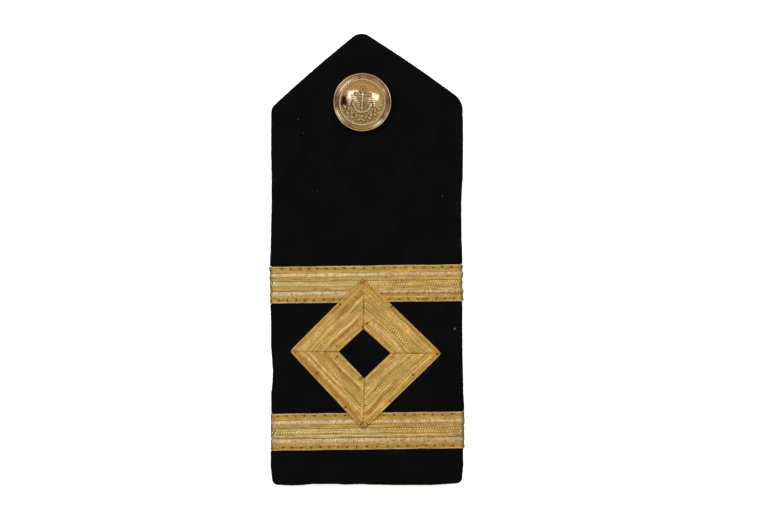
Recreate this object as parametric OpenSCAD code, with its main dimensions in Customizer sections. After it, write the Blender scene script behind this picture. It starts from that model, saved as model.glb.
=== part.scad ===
// Shoulder board: a stiff, cloth-covered board that lies on its back, with its point towards +Y.
// Two stripes of gold lace cross it, a mitred diamond of the same lace joins them, and a domed
// button sits at the point. X runs across the board and Z = 0 is the surface that it lies on.

/* [Board] */
// Length of the board, from the square end to the tip of the point
board_l = 150; // [130:1:170]
// Width of the board
board_w = 63.5; // [58:0.5:75]
// Thickness of the board with its cloth
board_t = 3.6; // [3:0.1:5]
// Radius of the soft edge where the cloth turns round the board
edge_r = 1.2; // [0.6:0.1:1.4]
// Radius of the tip of the point
point_r = 4.4; // [3:0.1:7]
// How far the tip sits left of the middle
tip_shift = 1.8; // [0:0.1:3]
// Distance along the board from the tip to where the left side begins to turn in
left_shoulder_down = 26.3; // [20:0.1:34]
// Distance along the board from the tip to where the right side begins to turn in
right_shoulder_down = 25.2; // [20:0.1:34]
// Radius of the left corner of the point
left_shoulder_r = 3.8; // [2:0.1:8]
// Radius of the right corner of the point
right_shoulder_r = 6; // [2:0.1:8]
// How far the left slope of the point bows outwards
left_bow = 0.3; // [0:0.05:1]
// How far the right slope of the point bows outwards
right_bow = 0.35; // [0:0.05:1]
// Radius of the two corners at the square end
square_r = 2.1; // [1.5:0.1:4]
// Scale of the wander of the hand-cut side edges and of the square end
wander = 0.5; // [0:0.05:0.6]

/* [Lace stripes] */
// Width of the gold lace
lace_w = 12.3; // [10:0.1:14]
// Thickness of the gold lace
lace_t = 0.6; // [0.4:0.05:0.9]
// Length of lace turned under the board at each end of a stripe
lace_turn = 6; // [4:0.5:10]
// How far a stripe presses the cloth in where it goes round the edge
lace_pinch = 0.6; // [0:0.05:0.7]
// Distance from the square end to the centre line of the lower stripe
lower_lace_up = 17.9; // [14:0.1:24]
// Distance between the centre lines of the two stripes
lace_pitch = 48.9; // [44:0.1:54]
// Angle by which both stripes rise to the right
lace_tilt = 0.75; // [0:0.05:1.5]

/* [Diamond] */
// Width of the diamond over its left and right tips
diamond_w = 50.8; // [46:0.1:54]
// How far the diamond's top and bottom tips lie left of the middle of the board
diamond_shift = 1.15; // [0:0.05:2]
// How far the middle between its left and right tips lies left of the middle of the board
side_tip_shift = 0.35; // [0:0.05:2]
// How far the top tip lies above the centre line of the upper stripe
top_tip_over = 2.25; // [0:0.05:4]
// How far the bottom tip lies above the centre line of the lower stripe
bottom_tip_rise = 0.4; // [-2:0.1:3]
// How far the middle between the left and right tips lies above the middle of the diamond's height
side_tip_rise = 0.4; // [-1:0.1:1]
// How far the left tip lies above the right one
side_tip_lean = 0.75; // [-1:0.05:1]
// How far the laying by hand pulls the corners of the diamond's hole
lay_pull = 0.65; // [0:0.05:1]
// Length of the slope where the diamond climbs from the cloth onto a stripe
climb_l = 4; // [1:0.5:6]

/* [Button] */
// Diameter of the button
button_d = 19.3; // [18:0.1:22]
// Distance from the tip of the board to the middle of the button
button_down = 22.9; // [19:0.1:28]
// How far the button and the screw sit left of the middle
button_shift = 1.5; // [0:0.1:3]
// Height of the rim above the cloth
rim_h = 2.4; // [2:0.1:3]
// Thickness of the outer rim's round edge
rim_d = 0.6; // [0.4:0.1:0.8]
// Width of the smooth band between the outer rim and the rope ring
band_w = 1.5; // [1:0.1:1.6]
// How far the band dips in its middle
band_dip = 0.25; // [0.1:0.05:0.35]
// Thickness of the rope ring
rope_d = 0.7; // [0.5:0.1:0.9]
// Rise of the dome above the rim
dome_rise = 2.25; // [1.5:0.05:3]
// Height of the raised anchor above the dome
relief_h = 0.35; // [0.2:0.05:0.6]
// Angle by which the anchor leans to the right
anchor_lean = 4; // [-10:1:10]
// Wall of the pressed metal shell
shell_t = 0.45; // [0.3:0.05:0.6]
// Thickness of the back plate
back_t = 0.6; // [0.4:0.1:0.8]

/* [Strap and screw] */
// Width of the strap under the board
strap_w = 22; // [16:0.5:26]
// Thickness of the strap
strap_t = 1.5; // [1:0.1:2.5]
// Distance from the square end of the board to the end of the strap
strap_inset = 9; // [6:0.5:16]
// Length of the strap past the middle of the screw
strap_past = 9; // [8:0.5:12]
// Diameter of the screw
screw_d = 3; // [2.5:0.1:3.5]
// Diameter of the screw's flat head
screw_head_d = 10; // [8:0.5:12]
// Thickness of the screw's flat head
screw_head_t = 0.8; // [0.6:0.1:1.2]
// Depth of the screw in the socket of the back plate
screw_in = 2.4; // [1.5:0.1:2.8]
// Wall of the socket round the screw
socket_t = 1; // [0.8:0.1:1.4]

/* [Clearances] */
// Gap between pieces that lie on each other
piece_gap = 0.1; // [0.05:0.01:0.15]
// Gap between the screw and the holes in the board and the strap
hole_gap = 0.2; // [0.1:0.05:0.4]
// Gap between the screw and its socket
socket_gap = 0.05; // [0.02:0.01:0.08]

/* [Hidden] */
$fn = 64;

// Heights of the stack, from the surface upwards
strap_z = screw_head_t + piece_gap;
board_z = strap_z + strap_t + piece_gap;
top_z = board_z + board_t;
lace_z = top_z + piece_gap;
over_z = lace_z + lace_t + piece_gap;
button_z = top_z + piece_gap;

// Places along the board
tip_y = board_l / 2;
square_y = -board_l / 2;
button_y = tip_y - button_down;
lower_lace_y = square_y + lower_lace_up;
upper_lace_y = lower_lace_y + lace_pitch;

// The board's outline is a belt round five round corners, anticlockwise from the lower left.
// Columns: centre x, centre y, radius, bow of the run that follows
CORNERS = [
    [-board_w / 2 + square_r, square_y + square_r, square_r, 0],
    [board_w / 2 - square_r, square_y + square_r, square_r, 0],
    [board_w / 2 - right_shoulder_r, tip_y - right_shoulder_down, right_shoulder_r, right_bow],
    [-tip_shift, tip_y - point_r, point_r, left_bow],
    [-board_w / 2 + left_shoulder_r, tip_y - left_shoulder_down, left_shoulder_r, 0],
];
corner_steps = 6;
slope_steps = 8;
edge_steps = 4;

// Wander of the two long sides, outwards.
// Columns: share of the board's length from the square end, left and right shares of wander
SIDE_WANDER = [
    [0.000, -0.6, -0.6],
    [0.016, -0.5, -0.3],
    [0.042, 0.4, 0.5],
    [0.069, 0.3, 0.3],
    [0.119, -0.4, 0.8],
    [0.175, 0.0, 1.1],
    [0.202, 0.0, 0.5],
    [0.228, -0.9, 0.4],
    [0.255, -1.1, 0.2],
    [0.281, -0.5, 0.0],
    [0.308, 0.1, -0.1],
    [0.361, 0.1, -0.2],
    [0.388, 0.4, -0.1],
    [0.445, 0.6, -0.1],
    [0.494, 0.8, -0.2],
    [0.521, 0.4, -0.3],
    [0.547, 0.2, -0.7],
    [0.600, -0.1, -0.8],
    [0.627, -0.3, -0.8],
    [0.654, -0.2, -0.5],
    [0.680, -0.3, 0.1],
    [0.734, 0.1, 0.3],
    [0.804, 0.0, 0.3],
    [0.822, 0.0, 0.0],
    [1.000, 0.0, 0.0],
];
// Wander of the square end, outwards.
// Columns: share of the board's width from the left, share of wander
END_WANDER = [
    [0.00, 0.0],
    [0.05, 0.0],
    [0.11, 0.4],
    [0.17, 0.0],
    [0.21, -0.6],
    [0.34, -0.6],
    [0.38, -0.2],
    [0.46, -0.5],
    [0.63, 0.1],
    [0.84, 0.1],
    [0.93, -0.7],
    [1.00, -1.2],
];

function end_wander(x) = wander * lookup(x / board_w + 0.5, END_WANDER);
// Wander of one long side at height y on the board; side is -1 on the left and 1 on the right
function side_wander(y, side) =
    let (column = side < 0 ? 1 : 2)
    wander * lookup((y - square_y) / board_l, [for (row = SIDE_WANDER) [row[0], row[column]]]);

// Each stripe holds the cloth in along its own width, and beside it the cloth comes back out
hold_flat = lace_w / 2 + 0.2;
hold_ease = 0.4;
function stripe_y_at(lace_y, side) = lace_y + side * tan(lace_tilt) * board_w / 2;
function hold(y, lace_y, side) =
    lookup(abs(y - stripe_y_at(lace_y, side)), [[0, 1], [hold_flat, 1], [hold_flat + hold_ease, 0]]);
// Where a stripe holds the side: square to the stripe, pressed in by the lace
function held_side(y, lace_y, side) =
    let (at = stripe_y_at(lace_y, side))
    side_wander(at, side) - lace_pinch - side * (y - at) * tan(lace_tilt);
function side_out(y, side) =
    let (
        free = side_wander(y, side),
        upper = hold(y, upper_lace_y, side) * (held_side(y, upper_lace_y, side) - free),
        lower = hold(y, lower_lace_y, side) * (held_side(y, lower_lace_y, side) - free)
    )
    free + upper + lower;

// Direction, outwards, of the straight run that follows corner i
function run_angle(i) =
    let (
        a = CORNERS[i],
        b = CORNERS[(i + 1) % len(CORNERS)],
        d = [b.x - a.x, b.y - a.y]
    )
    atan2(d.y, d.x) - acos((a[2] - b[2]) / norm(d));

// Turns an angle by whole circles until it follows the one before it
function following(angle, before) = angle < before ? following(angle + 360, before) : angle;

// A list in rising order, with no value twice
function rising(v) =
    len(v) < 2 ? v
    : let (middle = v[floor(len(v) / 2)])
        concat(
            rising([for (a = v) if (a < middle) a]),
            [middle],
            rising([for (a = v) if (a > middle) a])
        );

// Heights on a long side where it may bend: beside and along each stripe, and at the wander's rows
function stripe_stops(lace_y, side) =
    [for (s = [-1, 1], reach = [hold_flat, hold_flat + hold_ease]) stripe_y_at(lace_y, side) + s * reach];
function clear_of_stripes(y, side) =
    hold(y, upper_lace_y, side) == 0 && hold(y, lower_lace_y, side) == 0;
function side_stops(side) =
    rising(concat(
        stripe_stops(upper_lace_y, side),
        stripe_stops(lower_lace_y, side),
        [
            for (row = SIDE_WANDER)
                let (y = square_y + row[0] * board_l)
                if (clear_of_stripes(y, side)) y
        ]
    ));

// Points along the run that follows corner i, as shares of its length
function run_shares(i) =
    let (
        low_y = CORNERS[1].y,
        left_l = CORNERS[4].y - low_y,
        right_l = CORNERS[2].y - low_y,
        left_stops = side_stops(-1)
    )
    i == 0 ? [for (row = END_WANDER) (row[0] * board_w - square_r) / (board_w - 2 * square_r)]
    : i == 1 ? [for (y = side_stops(1)) (y - low_y) / right_l]
    : i == 4 ? [for (k = [len(left_stops) - 1:-1:0]) 1 - (left_stops[k] - low_y) / left_l]
    : [for (k = [1:slope_steps - 1]) k / slope_steps];

// Points of the belt. Columns: x, y, outward direction
BELT = [
    for (i = [0:len(CORNERS) - 1])
        let (
            c = CORNERS[i],
            next = CORNERS[(i + 1) % len(CORNERS)],
            turn_from = run_angle((i + len(CORNERS) - 1) % len(CORNERS)),
            turn_to = following(run_angle(i), turn_from),
            out = [cos(turn_to), sin(turn_to)],
            start = [c.x, c.y] + c[2] * out,
            end = [next.x, next.y] + next[2] * out
        )
        each concat(
            [
                for (k = [0:corner_steps])
                    let (a = turn_from + (turn_to - turn_from) * k / corner_steps)
                    [c.x + c[2] * cos(a), c.y + c[2] * sin(a), a]
            ],
            [
                for (t = run_shares(i))
                    let (p = start + t * (end - start) + 4 * t * (1 - t) * c[3] * out)
                    if (t > 0.01 && t < 0.99) [p.x, p.y, turn_to]
            ]
        )
];

// How far a belt point moves outwards across the board and towards the square end
function shift_x(p) = cos(p[2]) * side_out(p.y, cos(p[2]) < 0 ? -1 : 1);
function shift_y(p) = min(0, sin(p[2])) * end_wander(p.x);

// The soft edge of the board in section. Columns: distance in from the outline, height
EDGE = concat(
    [
        for (k = [0:edge_steps])
            let (a = 90 - 90 * k / edge_steps)
            [edge_r * (1 - cos(a)), edge_r * (1 - sin(a))]
    ],
    [
        for (k = [0:edge_steps])
            let (a = 90 * k / edge_steps)
            [edge_r * (1 - cos(a)), board_t - edge_r * (1 - sin(a))]
    ]
);

// A closed skin over rings of equally many points, from the lowest ring to the highest
module skin(rings) {
    n = len(rings[0]);
    last = len(rings) - 1;
    polyhedron(
        points = [for (ring = rings) each ring],
        faces = concat(
            [[for (i = [0:n - 1]) i]],
            [[for (i = [n - 1:-1:0]) last * n + i]],
            [
                for (k = [0:last - 1], i = [0:n - 1])
                    let (j = (i + 1) % n)
                    [k * n + i, (k + 1) * n + i, (k + 1) * n + j, k * n + j]
            ]
        )
    );
}

// A round hole on the axis of the button and the screw, right through everything
module screw_hole(r) {
    translate([-button_shift, button_y, -1])
        cylinder(h = top_z + 2, r = r);
}

// The stiff board in its cloth cover
module board() {
    color("#101012")
        difference() {
            translate([0, 0, board_z])
                skin([
                    for (e = EDGE)
                        [
                            for (p = BELT)
                                [
                                    p.x - e[0] * cos(p[2]) + shift_x(p),
                                    p.y - e[0] * sin(p[2]) + shift_y(p),
                                    e[1]
                                ]
                        ]
                ]);
            screw_hole(screw_d / 2 + hole_gap);
        }
}

// A rectangle with round corners, from its lower left corner to its upper right
module soft_rectangle(low, high, r) {
    translate([low.x + r, low.y])
        square([high.x - low.x - 2 * r, high.y - low.y]);
    translate([low.x, low.y + r])
        square([high.x - low.x, high.y - low.y - 2 * r]);
    for (x = [low.x + r, high.x - r], y = [low.y + r, high.y - r])
        translate([x, y])
            circle(r);
}

// A stripe in section across the board: a loop round the cloth, open underneath
module stripe_section(lace_y) {
    left = -board_w / 2 - held_side(stripe_y_at(lace_y, -1), lace_y, -1) - piece_gap;
    right = board_w / 2 + held_side(stripe_y_at(lace_y, 1), lace_y, 1) + piece_gap;
    low = board_z - piece_gap;
    high = top_z + piece_gap;
    round_r = edge_r + piece_gap;
    difference() {
        soft_rectangle(
            [left - lace_t, low - lace_t], [right + lace_t, high + lace_t], round_r + lace_t
        );
        soft_rectangle([left, low], [right, high], round_r);
        translate([left + lace_turn, low - 2 * lace_t])
            square([right - left - 2 * lace_turn, 3 * lace_t]);
    }
}

// One stripe of lace, wrapped round both edges and turned under
module stripe(lace_y) {
    color("#c9a04a")
        translate([0, lace_y, 0])
            rotate([0, 0, lace_tilt])
                rotate([90, 0, 0])
                    linear_extrude(lace_w, center = true)
                        stripe_section(lace_y);
}
module upper_lace() { stripe(upper_lace_y); }
module lower_lace() { stripe(lower_lace_y); }

// The diamond's four outer tips, anticlockwise from the top
top_tip_y = upper_lace_y + top_tip_over;
bottom_tip_y = lower_lace_y + bottom_tip_rise;
side_tip_y = (top_tip_y + bottom_tip_y) / 2 + side_tip_rise;
TIPS = [
    [-diamond_shift, top_tip_y],
    [-side_tip_shift - diamond_w / 2, side_tip_y + side_tip_lean / 2],
    [-diamond_shift, bottom_tip_y],
    [-side_tip_shift + diamond_w / 2, side_tip_y - side_tip_lean / 2],
];
// Where the four corners of its hole are pulled to, in shares of the pull, in the same order
HOLE_PULL = [[-0.15, 0.1], [-1, 0.25], [-0.15, -0.5], [0.7, 0.15]];

function unit(v) = v / norm(v);
// Direction of the side that leaves tip i, and the direction into the diamond from it
function side_way(i) = unit(TIPS[(i + 1) % 4] - TIPS[i % 4]);
function side_in(i) = let (w = side_way(i)) [-w.y, w.x];
// The corner of the hole that lies inside tip i
function hole_corner(i) =
    let (a = side_in(i + 3), b = side_in(i))
    TIPS[i % 4] + (a + b) * lace_w / (1 + a * b) + HOLE_PULL[i % 4] * lay_pull;

// Plan of the mitred length of lace that leaves tip i, a small gap short of each mitre
module mitred_plan(i) {
    back = side_way(i) * piece_gap;
    polygon([
        TIPS[i % 4] + back, TIPS[(i + 1) % 4] - back,
        hole_corner(i + 1) - back, hole_corner(i) + back
    ]);
}

// The height of laid lace along the board: on the cloth, then up a slope onto a stripe.
// side is 1 where the stripe is above the cloth and -1 where it is below.
module climbing_sheet(lace_y, side) {
    slope_end = lace_w / 2 + piece_gap;
    slope_start = slope_end + climb_l;
    translate([0, lace_y, 0])
        rotate([0, 0, lace_tilt])
            rotate([90, 0, 90])
                linear_extrude(2 * board_w, center = true)
                    polygon([
                        [-side * board_l, lace_z], [-side * slope_start, lace_z],
                        [-side * slope_end, over_z], [side * board_l, over_z],
                        [side * board_l, over_z + lace_t], [-side * slope_end, over_z + lace_t],
                        [-side * slope_start, lace_z + lace_t], [-side * board_l, lace_z + lace_t],
                    ]);
}

// One mitred length of the diamond, which leaves tip i and climbs onto one stripe
module diamond_side(i, lace_y, side) {
    color("#c2984a")
        intersection() {
            linear_extrude(over_z + 2 * lace_t)
                mitred_plan(i);
            climbing_sheet(lace_y, side);
        }
}
module diamond_top_left() { diamond_side(0, upper_lace_y, 1); }
module diamond_bottom_left() { diamond_side(1, lower_lace_y, -1); }
module diamond_bottom_right() { diamond_side(2, lower_lace_y, -1); }
module diamond_top_right() { diamond_side(3, upper_lace_y, 1); }

// The button's rings, from the outside inwards, and its dome
rim_r = button_d / 2 - rim_d / 2;
skirt_r = rim_r;
band_out_r = rim_r - rim_d / 4;
band_in_r = band_out_r - band_w;
rope_r = band_in_r - rope_d / 4;
field_r = rope_r - rope_d / 4;
dome_r = (field_r * field_r + dome_rise * dome_rise) / (2 * dome_rise);
dome_z = rim_h + dome_rise - dome_r;
dome_fn = 180;
// The band's section is an arc that dips between two edges of the same height
band_r = (band_in_r + band_out_r) / 2;
band_arc = (band_w * band_w / 4 + band_dip * band_dip) / (2 * band_dip);
band_z = rim_h - rim_d / 6;
step_z = band_z - band_dip;
rope_z = rim_h - rope_d / 5;
// Width of the lip under the back plate, and the height of the hollow above it
lip_w = 1;
hollow_h = step_z - 2 * shell_t;
// A height above the whole button
over_button = rim_h + dome_rise + 1;
back_r = skirt_r - shell_t - piece_gap;
back_z = shell_t + piece_gap;

module at_button() {
    translate([-button_shift, button_y, button_z])
        children();
}

// The cap of a ball that stands on the button's field, in section
module dome_section(grow) {
    intersection() {
        translate([0, dome_z])
            circle(dome_r + grow, $fn = dome_fn);
        square([field_r, over_button]);
    }
}

// The pressed shell in section, with its lip bent in under the back plate
module shell_section() {
    difference() {
        union() {
            square([skirt_r, step_z]);
            difference() {
                square([band_out_r, band_z]);
                translate([band_r, step_z + band_arc])
                    circle(band_arc);
            }
            translate([rim_r, rim_h - rim_d / 2])
                circle(rim_d / 2);
            translate([rope_r, rope_z])
                circle(rope_d / 2);
            dome_section(0);
        }
        translate([0, shell_t])
            square([skirt_r - shell_t, hollow_h]);
        translate([0, -1])
            square([skirt_r - lip_w, 1 + 2 * shell_t]);
        intersection() {
            dome_section(-shell_t);
            square([field_r - shell_t, over_button]);
        }
    }
}

// A stretch of a flat ring, kept on one side of its middle line: side is -1 left and 1 right
module half_ring(r, w, side) {
    intersection() {
        difference() {
            circle(r + w / 2);
            circle(r - w / 2);
        }
        translate([side < 0 ? -2 * r : 0, -2 * r])
            square([2 * r, 4 * r]);
    }
}

// A leaf that points along X, the shared part of two circles
module leaf(leaf_l, leaf_w) {
    r = (leaf_l * leaf_l + leaf_w * leaf_w) / (4 * leaf_w);
    intersection_for (s = [-1, 1])
        translate([0, s * (r - leaf_w / 2)])
            circle(r);
}

// Plan of a plain anchor: ring, stock, shank, arms and flukes, in shares of the field's radius
module anchor_plan(f) {
    shank = 0.11 * f;
    stock_y = 0.32 * f;
    arms_y = -0.1 * f;
    arms_r = 0.38 * f;
    translate([-shank / 2, arms_y - arms_r])
        square([shank, 0.46 * f - arms_y + arms_r]);
    translate([-0.32 * f, stock_y - 0.045 * f])
        square([0.64 * f, 0.09 * f]);
    for (x = [-0.32, 0.32])
        translate([x * f, stock_y])
            circle(0.07 * f);
    translate([0, 0.56 * f])
        difference() {
            circle(0.13 * f);
            circle(0.06 * f);
        }
    // The arms are the lower part of a ring
    intersection() {
        translate([0, arms_y])
            difference() {
                circle(arms_r + shank / 2);
                circle(arms_r - shank / 2);
            }
        translate([-f, -f])
            square([2 * f, 0.84 * f]);
    }
    for (side = [-1, 1])
        translate([side * arms_r, -0.16 * f])
            polygon([[-0.13 * f, -0.06 * f], [0.13 * f, -0.06 * f], [side * 0.06 * f, 0.2 * f]]);
}

// Plan of the rope that hangs from the anchor's ring and winds across the shank
module rope_plan(f) {
    w = 0.065 * f;
    translate([0, 0.26 * f])
        half_ring(0.22 * f, w, -1);
    translate([0, -0.12 * f])
        half_ring(0.16 * f, w, 1);
    translate([0, -0.4 * f])
        half_ring(0.12 * f, w, -1);
}

// Plan of two sprays of leaves under the anchor. Every other leaf stands outside the stem.
module leaves_plan(f) {
    for (side = [-1, 1], k = [0:6])
        let (out = k % 2 == 0 ? 1 : -1)
            rotate([0, 0, side * (8 + 10.5 * k)])
                translate([0, -(0.76 + 0.07 * out) * f])
                    rotate([0, 0, -side * out * 24])
                        leaf(0.25 * f, 0.12 * f);
}

// The relief, raised a little above the dome and sunk into its wall
module relief() {
    intersection() {
        rotate([0, 0, -anchor_lean])
            linear_extrude(over_button) {
                anchor_plan(field_r);
                rope_plan(field_r);
                leaves_plan(field_r);
            }
        difference() {
            translate([0, 0, dome_z])
                sphere(dome_r + relief_h, $fn = dome_fn);
            translate([0, 0, dome_z])
                sphere(dome_r - shell_t / 2, $fn = dome_fn);
        }
    }
}

// The domed front of the button
module button_shell() {
    color("#d8ac55")
        at_button() {
            rotate_extrude()
                shell_section();
            relief();
        }
}

// The plate inside the shell's lip, with the socket for the screw
module button_back() {
    socket_r = screw_d / 2 + socket_gap;
    color("#b08a48")
        at_button()
            translate([0, 0, back_z])
                difference() {
                    union() {
                        cylinder(h = back_t, r = back_r);
                        cylinder(h = screw_in + 2 * piece_gap, r = socket_r + socket_t);
                    }
                    translate([0, 0, -1])
                        cylinder(h = 1 + screw_in + piece_gap, r = socket_r);
                }
}

// The flat-headed screw, from under the strap up into the socket
module button_screw() {
    color("#b08a48")
        translate([-button_shift, button_y, 0]) {
            cylinder(h = screw_head_t, r = screw_head_d / 2);
            cylinder(h = button_z + back_z + screw_in - piece_gap, r = screw_d / 2);
        }
}

// The tongue under the board, square at its sewn end and round at the screw
module strap() {
    strap_start = square_y + strap_inset;
    round_y = button_y + strap_past - strap_w / 2;
    color("#18181a")
        difference() {
            translate([-button_shift, 0, strap_z]) {
                translate([-strap_w / 2, strap_start, 0])
                    cube([strap_w, round_y - strap_start, strap_t]);
                translate([0, round_y, 0])
                    cylinder(h = strap_t, r = strap_w / 2);
            }
            screw_hole(screw_d / 2 + hole_gap);
        }
}

board();
upper_lace();
lower_lace();
diamond_top_left();
diamond_top_right();
diamond_bottom_left();
diamond_bottom_right();
button_shell();
button_back();
button_screw();
strap();
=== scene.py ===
"""Shoulder board: the looks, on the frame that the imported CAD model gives.

A stiff board in black cloth lies on its back with its point towards +Y. Two stripes of woven gold
lace go round it, four mitred lengths of the same lace make a diamond, and a domed gilt button with
a plain anchor sits at the point. Sizes are written in millimetres, and a mesh is scaled to metres
when it becomes a piece.
"""

from __future__ import annotations

import logging
import math
from dataclasses import dataclass
from enum import Enum
from typing import Callable, Optional, Sequence, Union

import bmesh
import bpy
import numpy as np
from mathutils import Matrix, Vector


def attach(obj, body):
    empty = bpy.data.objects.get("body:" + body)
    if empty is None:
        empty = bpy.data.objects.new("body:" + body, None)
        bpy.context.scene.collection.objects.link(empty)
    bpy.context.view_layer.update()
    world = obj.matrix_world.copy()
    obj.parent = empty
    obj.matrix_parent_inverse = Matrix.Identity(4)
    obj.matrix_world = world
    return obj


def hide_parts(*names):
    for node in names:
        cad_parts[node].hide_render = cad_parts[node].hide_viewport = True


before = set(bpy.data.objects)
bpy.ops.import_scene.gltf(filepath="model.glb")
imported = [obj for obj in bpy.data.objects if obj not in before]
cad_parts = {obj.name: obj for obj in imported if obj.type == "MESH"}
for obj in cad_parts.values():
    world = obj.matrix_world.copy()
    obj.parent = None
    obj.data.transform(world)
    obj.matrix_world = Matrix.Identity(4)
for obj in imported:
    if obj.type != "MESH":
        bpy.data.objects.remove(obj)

log = logging.getLogger("shoulder_board")

MM = 0.001
BODY = "root"
# Points nearer to each other than this, in millimetres, are merged
DOUBLES = 1e-4
# A cut that passes a point of a slab nearer than this, in millimetres, runs through it
SNAP = 1e-3
# A crease angle in degrees that leaves no edge sharp
NO_CREASE = 180.0

Colour = tuple[float, float, float]
Number = Union[float, "Value"]
Input = Union[float, Colour, "Value", bpy.types.NodeSocket]
# Raised form on the button: distance from its edge, less than 0 inside it, then the width of its
# rounded edge and its height as a share of the relief
Form = tuple[np.ndarray, float, Union[float, np.ndarray]]


# Shader maths


def operator(name: str, swapped: bool = False) -> Callable[["Value", Number], "Value"]:
    """Makes a method of Value that adds one Math node.

    Args:
        name: What the node does.
        swapped: Whether the other number comes first.

    Returns:
        The method.
    """

    def method(self: "Value", other: Number) -> "Value":
        """The node's result for this number and another."""
        return self.tree.math(name, *((other, self) if swapped else (self, other)))

    return method


class Value:
    """A number in a node tree. Python's operators on it add Math nodes to that tree."""

    __add__ = operator("ADD")
    __radd__ = operator("ADD", swapped=True)
    __sub__ = operator("SUBTRACT")
    __rsub__ = operator("SUBTRACT", swapped=True)
    __mul__ = operator("MULTIPLY")
    __rmul__ = operator("MULTIPLY", swapped=True)
    __truediv__ = operator("DIVIDE")
    __rtruediv__ = operator("DIVIDE", swapped=True)

    def __init__(self, tree: "Tree", socket: bpy.types.NodeSocket) -> None:
        """Keeps the tree and the socket that carries the number."""
        self.tree = tree
        self.socket = socket

    def __abs__(self) -> "Value":
        """This number without its sign."""
        return self.tree.math("ABSOLUTE", self)

    def floor(self) -> "Value":
        """The whole number at or below this one."""
        return self.tree.math("FLOOR", self)

    def sine(self) -> "Value":
        """The sine of this number, in radians."""
        return self.tree.math("SINE", self)

    def rise(self, low: float, high: float) -> "Value":
        """A smooth step from 0 at low to 1 at high."""
        settings, sockets = {"interpolation_type": "SMOOTHSTEP"}, {0: self, 1: low, 2: high}
        return Value(self.tree, self.tree.add("ShaderNodeMapRange", settings, sockets).outputs[0])


class Tree:
    """The node tree of one material or world, filled by expressions and by one method for nodes."""

    def __init__(self, owner: Union[bpy.types.Material, bpy.types.World]) -> None:
        """Empties a node tree and keeps it.

        Args:
            owner: The material or the world that the tree belongs to.
        """
        owner.use_nodes = True
        self.tree = owner.node_tree
        self.tree.nodes.clear()

    def add(
        self,
        kind: str,
        settings: Optional[dict[str, object]] = None,
        inputs: Optional[dict[Union[str, int], Input]] = None,
    ) -> bpy.types.Node:
        """Adds one node.

        Args:
            kind: The node's type.
            settings: Its own settings, which are set before its sockets.
            inputs: Values or links, by the name or number of the socket.

        Returns:
            The new node.
        """
        node = self.tree.nodes.new(kind)
        for name, setting in (settings or {}).items():
            setattr(node, name, setting)
        for name, given in (inputs or {}).items():
            socket = node.inputs[name]
            if isinstance(given, Value):
                self.tree.links.new(given.socket, socket)
            elif isinstance(given, bpy.types.NodeSocket):
                self.tree.links.new(given, socket)
            elif isinstance(given, tuple) and len(socket.default_value) == 4:
                socket.default_value = (*given, 1.0)
            else:
                socket.default_value = given
        return node

    def math(self, operation: str, *numbers: Number) -> Value:
        """Adds one Math node and returns its number."""
        node = self.add("ShaderNodeMath", {"operation": operation}, dict(enumerate(numbers)))
        return Value(self, node.outputs[0])

    def join(self, x: Number, y: Number, z: Number) -> bpy.types.NodeSocket:
        """A vector from three numbers."""
        return self.add("ShaderNodeCombineXYZ", None, {0: x, 1: y, 2: z}).outputs[0]

    def split(self, vector: bpy.types.NodeSocket) -> tuple[Value, Value, Value]:
        """The three numbers of a vector."""
        node = self.add("ShaderNodeSeparateXYZ", None, {0: vector})
        return tuple(Value(self, output) for output in node.outputs)

    def place(self) -> bpy.types.NodeSocket:
        """The place on the object in millimetres."""
        return self.shade(self.add("ShaderNodeTexCoord").outputs["Object"], 1 / MM)

    def attribute(self, name: str) -> bpy.types.NodeSocket:
        """A vector attribute of the mesh."""
        return self.add("ShaderNodeAttribute", {"attribute_name": name}).outputs["Vector"]

    def amount(self, name: str) -> Value:
        """A number attribute of the mesh."""
        node = self.add("ShaderNodeAttribute", {"attribute_name": name})
        return Value(self, node.outputs["Fac"])

    def noise(self, vector: bpy.types.NodeSocket, scale: float, detail: float = 2.0) -> Value:
        """Soft noise between 0 and 1, with its pitch in the vector's own units."""
        sockets = {"Vector": vector, "Scale": scale, "Detail": detail}
        return Value(self, self.add("ShaderNodeTexNoise", None, sockets).outputs[0])

    def mix(self, factor: Number, first: Input, second: Input) -> bpy.types.NodeSocket:
        """A colour between two colours."""
        settings = {"data_type": "RGBA", "clamp_factor": True}
        return self.add("ShaderNodeMix", settings, {0: factor, 6: first, 7: second}).outputs[2]

    def shade(self, colour: bpy.types.NodeSocket, factor: Number) -> bpy.types.NodeSocket:
        """A colour or another vector, times a number."""
        sockets = {0: colour, "Scale": factor}
        return self.add("ShaderNodeVectorMath", {"operation": "SCALE"}, sockets).outputs[0]

    def bump(self, height: Value, depth: float, strength: float = 1.0) -> bpy.types.NodeSocket:
        """A normal for small forms, with their depth in millimetres."""
        sockets = {"Height": height, "Distance": depth * MM, "Strength": strength}
        return self.add("ShaderNodeBump", None, sockets).outputs[0]

    def surface(self, sockets: dict[Union[str, int], Input]) -> None:
        """Ends the tree in one Principled surface with these sockets."""
        shader = self.add("ShaderNodeBsdfPrincipled", None, sockets)
        self.add("ShaderNodeOutputMaterial", None, {"Surface": shader.outputs[0]})


# Finishes


@dataclass(frozen=True)
class Finish:
    """What a surface is made of: the name of its material and the name of its slot."""

    name: str
    slot: str

    def material(self) -> bpy.types.Material:
        """The material of this finish, made on the first call.

        Returns:
            The material, with its nodes.
        """
        known = bpy.data.materials.get(self.name)
        if known:
            return known
        made = bpy.data.materials.new(self.name)
        self.dress(Tree(made))
        return made

    def dress(self, tree: Tree) -> None:
        """Adds the nodes of this finish to a tree."""
        raise NotImplementedError(self.name)


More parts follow.
